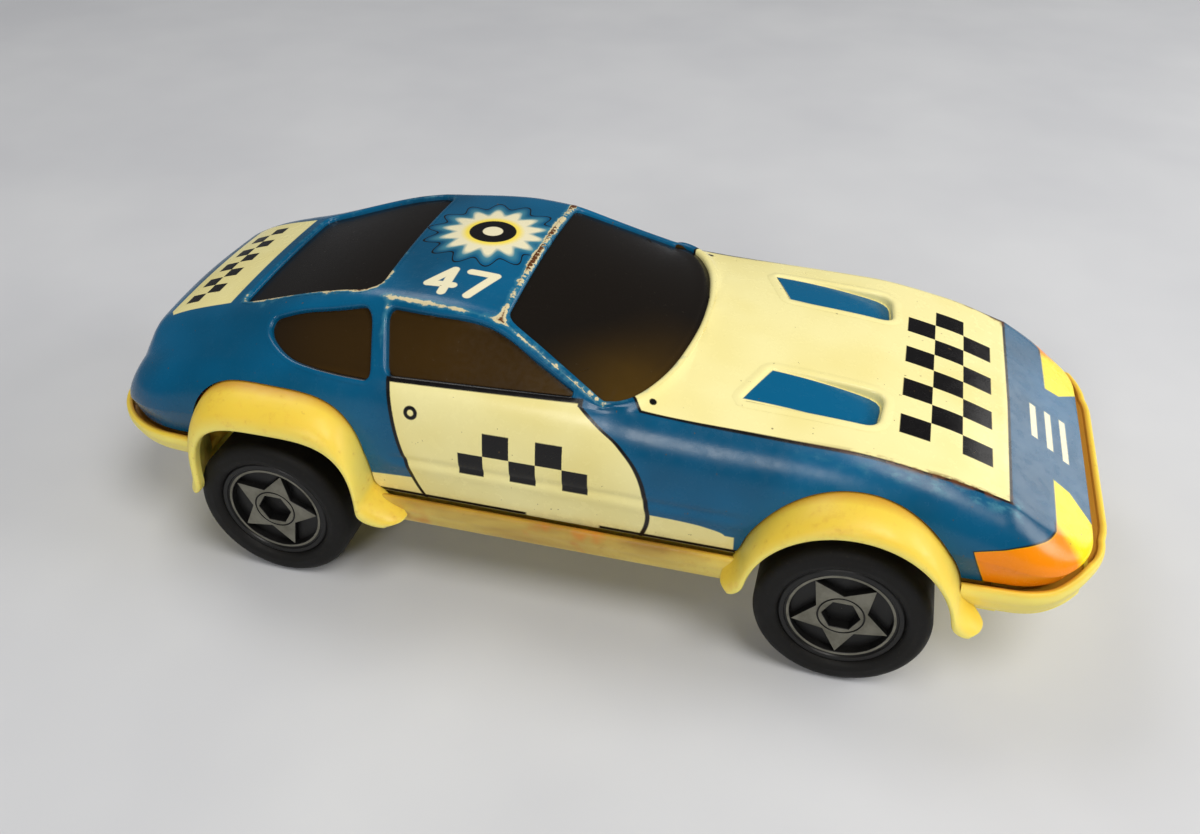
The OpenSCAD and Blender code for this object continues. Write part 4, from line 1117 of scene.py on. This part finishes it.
def vertex_normals(points, faces):
    quads = np.array(faces)
    a, b, c, d = [points[quads[:, k]] for k in range(4)]
    face_normal = np.cross(c - a, d - b)
    out = np.zeros_like(points)
    for k in range(4):
        np.add.at(out, quads[:, k], face_normal)
    return unit(out)


def post(x, y, r, z0, z1):
    turn = 2 * math.pi * shares(32)
    ring = np.stack([x + r * np.cos(turn), y + r * np.sin(turn)], 1)
    return loft([np.column_stack([ring, np.full(len(ring), z)]) for z in (z0, z1)])


def glass_piece():
    """One moulding just under the skin, behind all the windows."""
    normal = vertex_normals(SKIN, SKIN_FACES)
    drop = glass_drop + side_drop * np.clip((np.abs(normal[:, 1:2]) - 0.45) / 0.3, 0, 1)
    points = SKIN - normal * drop
    x, y, z = SKIN.T
    ahead = np.clip((x - x_pillar) / (screen_sweep + lap_front), 0, 1)
    keep = (x > x_back_low - lap_rear) & (x < x_screen + lap_front) & (z > belt_z - lap_low)
    keep &= np.abs(y) < (half_w - 3) * np.sqrt(1 - ahead ** 2) + 1.5
    faces = [f for f in SKIN_FACES if keep[list(f)].all()]
    used = np.unique(np.array(faces))
    index = np.full(len(points), -1)
    index[used] = np.arange(len(used))
    glass = make("glass", points[used], [tuple(index[list(f)]) for f in faces], [GLASS])
    thicken(glass, glass_t)
    shade(glass.data, 40)
    return glass


place(glass_piece(), "car", "glazing", "window_insert")
post_parts = []
for px, py in POSTS:
    for s in (-1, 1):
        top = cast([(px, s * py)], "z")[0][0][2]
        post_parts.append(post(px, s * py, post_r, floor_top + post_gap, top - post_drop))
place(make("glass_posts", *join(post_parts), [GLASS]), "car", "glazing")

# Plastic base: bumpers and sills swept round the plan, floor and flares
base_out = half_w + 0.6
skirt_z = 17.5
nose_bulge, bulge_half, bulge_fade = 0.8, 26, 3
bumper_front_r, bumper_rear_r = nose_r + 2, tail_r + 1
KEEL = [
    (x_lip_rear, end_z - 3), (x_lip_rear + 2.5, end_z - 5.5), (x_lip_rear + 9, end_z - 7.2),
    (x_rear - 22, end_z - 8), (x_rear - 12, skirt_z, 1), (x_front + 12, skirt_z, 1),
    (x_front + 24, end_z - 11.4), (x_lip_front - 13, end_z - 10.8), (x_lip_front - 4, end_z - 8.3),
    (x_lip_front - 1, end_z - 5), (x_lip_front, end_z - 2.5),
]
LIP = [
    (x_lip_rear, end_z - 0.5), (x_tail, end_z - 0.2, 1), (x_rear - 16, end_z - 1.2),
    (x_rear + 12, sill_z - 0.15, 1), (x_front - 12, sill_z - 0.15, 1), (x_front + 16, end_z - 3.6),
    (x_nose - 8, end_z - 2.4), (x_nose, end_z + 1.3, 1), (x_lip_front, end_z + 0.4),
]


def strip_ring(x, y, nx, ny):
    """Closed section of a bumper or sill at a point of the plan edge; n points outward."""
    low, lip = curve(KEEL, x), curve(LIP, x)
    mid = mix(lip, low, 0.3)
    deep = min(4.2, 0.62 * (lip - low))
    back = max(3.9, deep + 0.3)
    turn = np.linspace(0, 1, 9)
    chin_end = (-0.5, mix(low, mid, 0.8))
    chin = bezier((-deep, low), (-0.35 * deep, low + 0.12 * (mid - low)), chin_end, turn)
    roll = bezier(chin_end, (0.05, mix(low, mid, 0.95)), (0, mix(mid, lip, 0.35)), turn[1:])
    top = bezier((0, mix(mid, lip, 0.5)), (-0.1, lip + 0.05), (-0.9, lip), turn[1:])
    inner = [(-1.5, lip - 0.15), (-1.7, lip - 0.6), (-1.75, mix(lip, mid, 0.9))]
    inner += [(-back, mid), (-back, low + 0.4)]
    section = np.concatenate([chin, roll, top, inner])
    if nx > 0.9:
        section[:, 0] += nose_bulge * np.clip((bulge_half - abs(y)) / bulge_fade, 0, 1)
    out, z = section.T
    return np.column_stack([x + out * nx, y + out * ny, z])


# Share of painted groove shade at each point of the section: chin, roll, top and inner face
STRIP_GROOVE = [0] * 24 + [0.3] + [1] * 5


def corner_path(x_start, x_end, r, way):
    """Plan points and outward normals from the right side round one end to the left side."""
    centre = x_end - way * r
    flat = base_out - r
    right = [(x, -base_out, 0, -1) for x in mix(x_start, centre, shares(23))]
    for t in angles(0, 90, 25):
        nx, ny = way * math.sin(t), -math.cos(t)
        right.append((centre + r * nx, r * ny - flat, nx, ny))
    front = [(x_end, y, way, 0) for y in np.linspace(-flat, flat, 21)[1:-1]]
    left = [(x, -y, nx, -ny) for x, y, nx, ny in reversed(right)]
    return right + front + left


front_end, rear_end = WELLS[0][0] + WELLS[0][1], WELLS[1][0] - WELLS[1][1]
sill_run = np.linspace(WELLS[1][0] + WELLS[1][1], WELLS[0][0] - WELLS[0][1], 48)
STRIPS = [
    ("front_bumper", corner_path(front_end, x_lip_front, bumper_front_r, 1)),
    ("rear_bumper", corner_path(rear_end, x_lip_rear, bumper_rear_r, -1)),
    ("sill_left", [(x, base_out, 0, 1) for x in sill_run]),
    ("sill_right", [(x, -base_out, 0, -1) for x in sill_run]),
]
for name, path in STRIPS:
    obj = solid(name, *loft([strip_ring(*p) for p in path]), [PLASTIC], 50)
    store(obj, "groove", np.tile(STRIP_GROOVE, len(path)))
    if name.startswith("sill"):
        store(obj, "sill", [1.0] * len(obj.data.vertices))
    place(obj, "car", "base_plastic")


def flare_ring(arch, a):
    """Closed section of a flare: dome, rounded lip and hollow back."""
    root, lip, brow = root_at(arch, 0, a), arch_point(arch[0], 0, a), arch_point(arch[0], brow_r, a)
    rise = max(0, math.sin(a))
    thin, brow_in = mix(root, lip, mix(0.4, 0.2, rise)), mix(lip, root, mix(0.6, 0.15, rise))
    root_y, back_y = mix(flare_root_y, foot_root_y, foot_share(root[1])), flare_y - lip_w
    ring = []
    for t in angles(0, 90, 15):
        x, z = mix(root, brow, 1 - math.cos(t))
        ring.append((x, mix(root_y, flare_y, math.sin(t)), z))
    for t in angles(15, 90, 6):
        x, z = mix(brow, lip, math.sin(t))
        ring.append((x, flare_y - brow_r * (1 - math.cos(t)), z))
    ring += [(lip[0], back_y, lip[1]), (brow_in[0], back_y, brow_in[1])]
    for t in angles(60, 0, 3):
        x, z = mix(thin, brow_in, 1 - math.cos(t))
        ring.append((x, mix(root_y, back_y, math.sin(t)), z))
    return np.array(ring)


def flare_mesh(arch, side):
    """A flare lofted foot to foot, its feet rounded off below."""
    rings = []
    for a in turns(141):
        ring = flare_ring(arch, a)
        rise = (arch_point(arch[0], 0, a)[1] - arch_foot_z) / foot_round
        if rise < 1:
            middle = ring.mean(0)
            share = max(0.05, math.sqrt(max(0, 1 - (1 - rise) ** 2)))
            ring = middle + (ring - middle) * [share, mix(1, share, 0.6), 1]
        rings.append(ring * [1, side, 1])
    return loft(rings)


for label, arch in (("front", FRONT_ARCH), ("rear", REAR_ARCH)):
    for hand, side in (("left", 1), ("right", -1)):
        flare = solid("flare_" + label + "_" + hand, *flare_mesh(arch, side), [PLASTIC], 45)
        place(flare, "car", "base_plastic")

# Floor: wheel wells inward of the tyres, bay of the motor, and ends that lap onto the flat part
well_y = face_y - tyre_w - 3
bay_half, bay_rear, bay_front = 10.6, x_rear - 16, x_rear + 40
side_gap, pan_in, pan_lap, pan_reach = 3.2, 4, 16.5, 30
floor_half = half_w - side_gap
pan_rings, pan_climb = 25, 2
rear_well_back = x_rear - tyre_r - 0.3
well_reach, WELL_CUT, BAY_CUT = 60, (0, 40), (0, 60)
panel_at, panel_half, panel_w, panel_z = mix(x_rear, x_front, 0.62), 25, 18, 20


def box_outline(x0, x1, y0, y1):
    return [(x0, y0), (x1, y0), (x1, y1), (x0, y1)]


def pan(x_inner, x_outer):
    """A floor end that climbs to its bumper and closes it behind."""
    rings = []
    for i, x in enumerate(np.linspace(x_inner, x_outer, pan_rings)):
        z = max(floor_z, curve(KEEL, x))
        top = z + base_t if i < pan_rings - pan_climb else curve(LIP, x) - 1
        w = plan_half(x, x_lip_rear, x_lip_front, base_out, bumper_rear_r, bumper_front_r) - side_gap
        rings.append([(x, -w, z), (x, -w, top), (x, w, top), (x, w, z)])
    return solid("pan", *loft(rings))


def floor_piece():
    """Flat floor and its rising ends, with wheel wells and motor bay."""
    x0, x1 = x_rear - pan_lap - 1, x_front + pan_reach + 1
    outline = box_outline(x0, x1, -floor_half, floor_half)
    floor = prism("base_floor", outline, floor_z, floor_top, "z")
    ends = [pan(x_rear - pan_lap, x_lip_rear + pan_in), pan(x_front + pan_reach, x_lip_front - pan_in)]
    carve(floor, ends, "UNION")
    cutters = []
    for x, half in WELLS:
        back = max(x - half, rear_well_back)
        for y in (-1, 1):
            low, high = sorted((y * well_y, y * well_reach))
            cutters.append(prism("well", box_outline(back, x + half, low, high), *WELL_CUT, "z"))
    cutters.append(prism("bay", box_outline(bay_rear, bay_front, -bay_half, bay_half), *BAY_CUT, "z"))
    carve(floor, cutters)
    floor.data.materials.clear()
    floor.data.materials.append(PLASTIC)
    shade(floor.data, 30)
    return floor


place(floor_piece(), "car", "base_plastic", "chassis_base")
outline = box_outline(panel_at - panel_half, panel_at + panel_half, -panel_w, panel_w)
under = prism("base_panel", rounded(outline, 1.5), panel_z, floor_z + 0.5, "z", [PLASTIC])
place(under, "car", "base_plastic")

# Wheels
hub_r, rim_face = 13.5, face_y - 1
star_in, star_out, hexagon_r = 5.8, 10.88, 4.1
ridge_r, tyre_round = 15.45, 2.4
SPOKES = 240
SPIN = 2 * math.pi * shares(SPOKES)


def polygon_reach(corners, radius_in, radius_out, turn):
    """Distance from the middle to the edge of a star, at each angle of SPIN."""
    half = math.pi / corners
    at = np.abs((SPIN - turn + half) % (2 * half) - half)
    nx, ny = radius_in * math.sin(half), radius_out - radius_in * math.cos(half)
    return radius_out * nx / (np.cos(at) * nx + np.sin(at) * ny)


def hub_mesh(x, side, turn):
    """A dished hub: hexagon hole, star arms, printed ring and rim as one turned grid."""
    star = polygon_reach(5, star_in, star_out, turn)
    hexagon = polygon_reach(6, hexagon_r * math.cos(math.pi / 6), hexagon_r, 0)
    top, dish = face_y - 1.4, face_y - 3
    # From the middle outward: radius, height, and 1 where the band that ends there is foil
    rows = [
        (0.05, top - 2.4, 0), (hexagon, top - 2.4, 0), (hexagon, top - 0.12, 0),
        (hexagon + 0.12, top, 0), (4.75, top, 1), (4.85, top - 0.2, 0), (5.05, top - 0.2, 0),
        (5.15, top, 0), (star - 0.12, top, 1), (star, top - 0.12, 0), (star + 0.02, dish, 0),
        (np.maximum(10.8, star + 0.04), dish, 0), (10.95, top + 0.05, 0), (11.05, top + 0.14, 0),
        (11.6, top + 0.14, 1), (11.75, top + 0.05, 0), (12.0, top + 0.05, 0), (12.2, rim_face, 0),
        (13.1, rim_face, 0), (hub_r, rim_face - 0.3, 0), (hub_r, face_y - tyre_w + 1, 0),
        (1.6, face_y - tyre_w + 1, 0),
    ]
    points = []
    for r, h, _ in rows:
        ring = np.stack([x + r * np.cos(SPIN), np.full(SPOKES, side * h), axle_z + r * np.sin(SPIN)], 1)
        points.append(ring)
    foil = np.repeat([mark for _, _, mark in rows[1:]], SPOKES)
    return np.concatenate(points), grid_faces(len(rows), SPOKES, close=True), foil


def arc(centre, r, a0, a1, steps):
    return [(centre[0] + r * math.cos(t), centre[1] + r * math.sin(t)) for t in angles(a0, a1, steps)]


def tyre_mesh(x, side):
    """A plain tyre: bead, side wall with a fine ridge, round shoulders and a flat tread."""
    inner = face_y - tyre_w
    wall = [(hub_r, face_y - 1.1), (hub_r + 0.5, face_y - 0.45), (hub_r + 1.1, face_y - 0.15)]
    wall += [(ridge_r - 0.25, face_y - 0.04), (ridge_r, face_y), (ridge_r + 0.25, face_y - 0.04)]
    outer = arc((tyre_r - tyre_round, face_y - tyre_round - 0.1), tyre_round, 88, 4, 9)
    tread = [(tyre_r, h) for h in np.linspace(face_y - 3, inner + 3, 7)]
    back = arc((tyre_r - tyre_round, inner + tyre_round + 0.1), tyre_round, -4, -88, 9)
    profile = wall + outer + tread + back + [(hub_r + 1, inner), (hub_r, inner + 0.5)]
    rings = []
    for t in SPIN[::2]:
        rings.append([(x + r * math.cos(t), side * h, axle_z + r * math.sin(t)) for r, h in profile])
    return np.concatenate(rings), grid_faces(len(rings), len(profile), close=True, wrap=True)


for label, x, body, turn in (("front", x_front, "front_wheels", 54), ("rear", x_rear, "rear_wheels", 1)):
    for hand, side in (("left", 1), ("right", -1)):
        corner = label + "_" + hand
        points, faces, foil = hub_mesh(x, side, math.radians(turn))
        hub = solid("hub_" + corner + "_look", points, faces, [HUB, FOIL], 30)
        hub.data.polygons.foreach_set("material_index", foil)
        place(hub, body, "hub", "hub_" + corner)
        tyre = solid("tyre_" + corner + "_look", *tyre_mesh(x, side), [RUBBER], 50)
        place(tyre, body, "tyre", "tyre_" + corner)

# Finishes of the parts shown as they are in the CAD
FINISHES = {
    STEEL: ("front_axle", "rear_axle", "body_screws", "carrier_screws", "motor_screws", "motor_spacers",
            "idler_shaft", "flywheel_shaft"),
    PLATE: ("motor_plate_left", "motor_plate_right"),
    IRON: ("flywheel",),
    GEAR: ("drive_gear", "idler_gear", "flywheel_pinion"),
    DARK: ("front_axle_carrier",),
}
for material, names in FINISHES.items():
    for name in names:
        mesh = frame["nodes"][name].data
        mesh.materials.clear()
        mesh.materials.append(material)

# Stage, light and camera
floor_paint = Paint("floor")
floor_paint.lay(colour(214, 216, 220))
floor_paint.lay(colour(206, 208, 213), ramp(floor_paint.noise(0.01, 3), 0.35, 0.65))
floor_mat = floor_paint.done(Roughness=0.8)
stage_half = 3 / MM
corners = [(x * stage_half, y * stage_half, 0) for x, y in ((-1, -1), (1, -1), (1, 1), (-1, 1))]
ground = make("ground", corners, [(0, 1, 2, 3)], [floor_mat])
SOFT_WHITE = (1, 0.98, 0.95)
# Lights: name, place and size in metres, power and tint
LIGHTS = [
    ("key", (0.4, -0.35, 0.95), 0.5, 5.5, (1, 0.97, 0.92)),
    ("fill", (-0.1, -1.05, 0.6), 0.35, 3.6, SOFT_WHITE),
    ("front", (0.95, 0.1, 0.5), 0.5, 4.5, SOFT_WHITE),
    ("back", (-0.5, 0.35, 1.0), 0.5, 2.8, SOFT_WHITE),
    ("left", (0.75, 0.75, 0.3), 0.5, 1.8, SOFT_WHITE),
]
LIT = Vector((0, 0, 0.03))
for name, at, size, power, tint in LIGHTS:
    data = bpy.data.lights.new(name, "AREA")
    data.shape = "DISK"
    data.size = size
    data.energy = power
    data.color = tint
    light = bpy.data.objects.new(name, data)
    light.location = at
    light.rotation_mode = "QUATERNION"
    light.rotation_quaternion = (LIT - Vector(at)).to_track_quat("-Z", "Y")
    bpy.context.scene.collection.objects.link(light)
world = bpy.data.worlds.new("studio")
world.use_nodes = True
sky = world.node_tree.nodes["Background"].inputs
sky["Color"].default_value = (0.92, 0.95, 1, 1)
sky["Strength"].default_value = 0.12
bpy.context.scene.world = world
bpy.context.scene.view_settings.view_transform = "Standard"

# Place of the camera in millimetres, its turns in degrees
CAMERA_AT = np.array([57.361, -222.654, 194.150])
azimuth, elevation, roll = np.radians([14.69, 36.19, 0.31])
camera = bpy.data.objects.new("camera", bpy.data.cameras.new("camera"))
camera.data.lens = 33.609
camera.data.sensor_width = 36
camera.data.clip_start = 0.01
camera.matrix_world = (
    Matrix.Translation(CAMERA_AT * MM) @ Matrix.Rotation(azimuth, 4, "Z")
    @ Matrix.Rotation(math.pi / 2 - elevation, 4, "X") @ Matrix.Rotation(roll, 4, "Z")
)
bpy.context.scene.collection.objects.link(camera)
bpy.context.scene.camera = camera
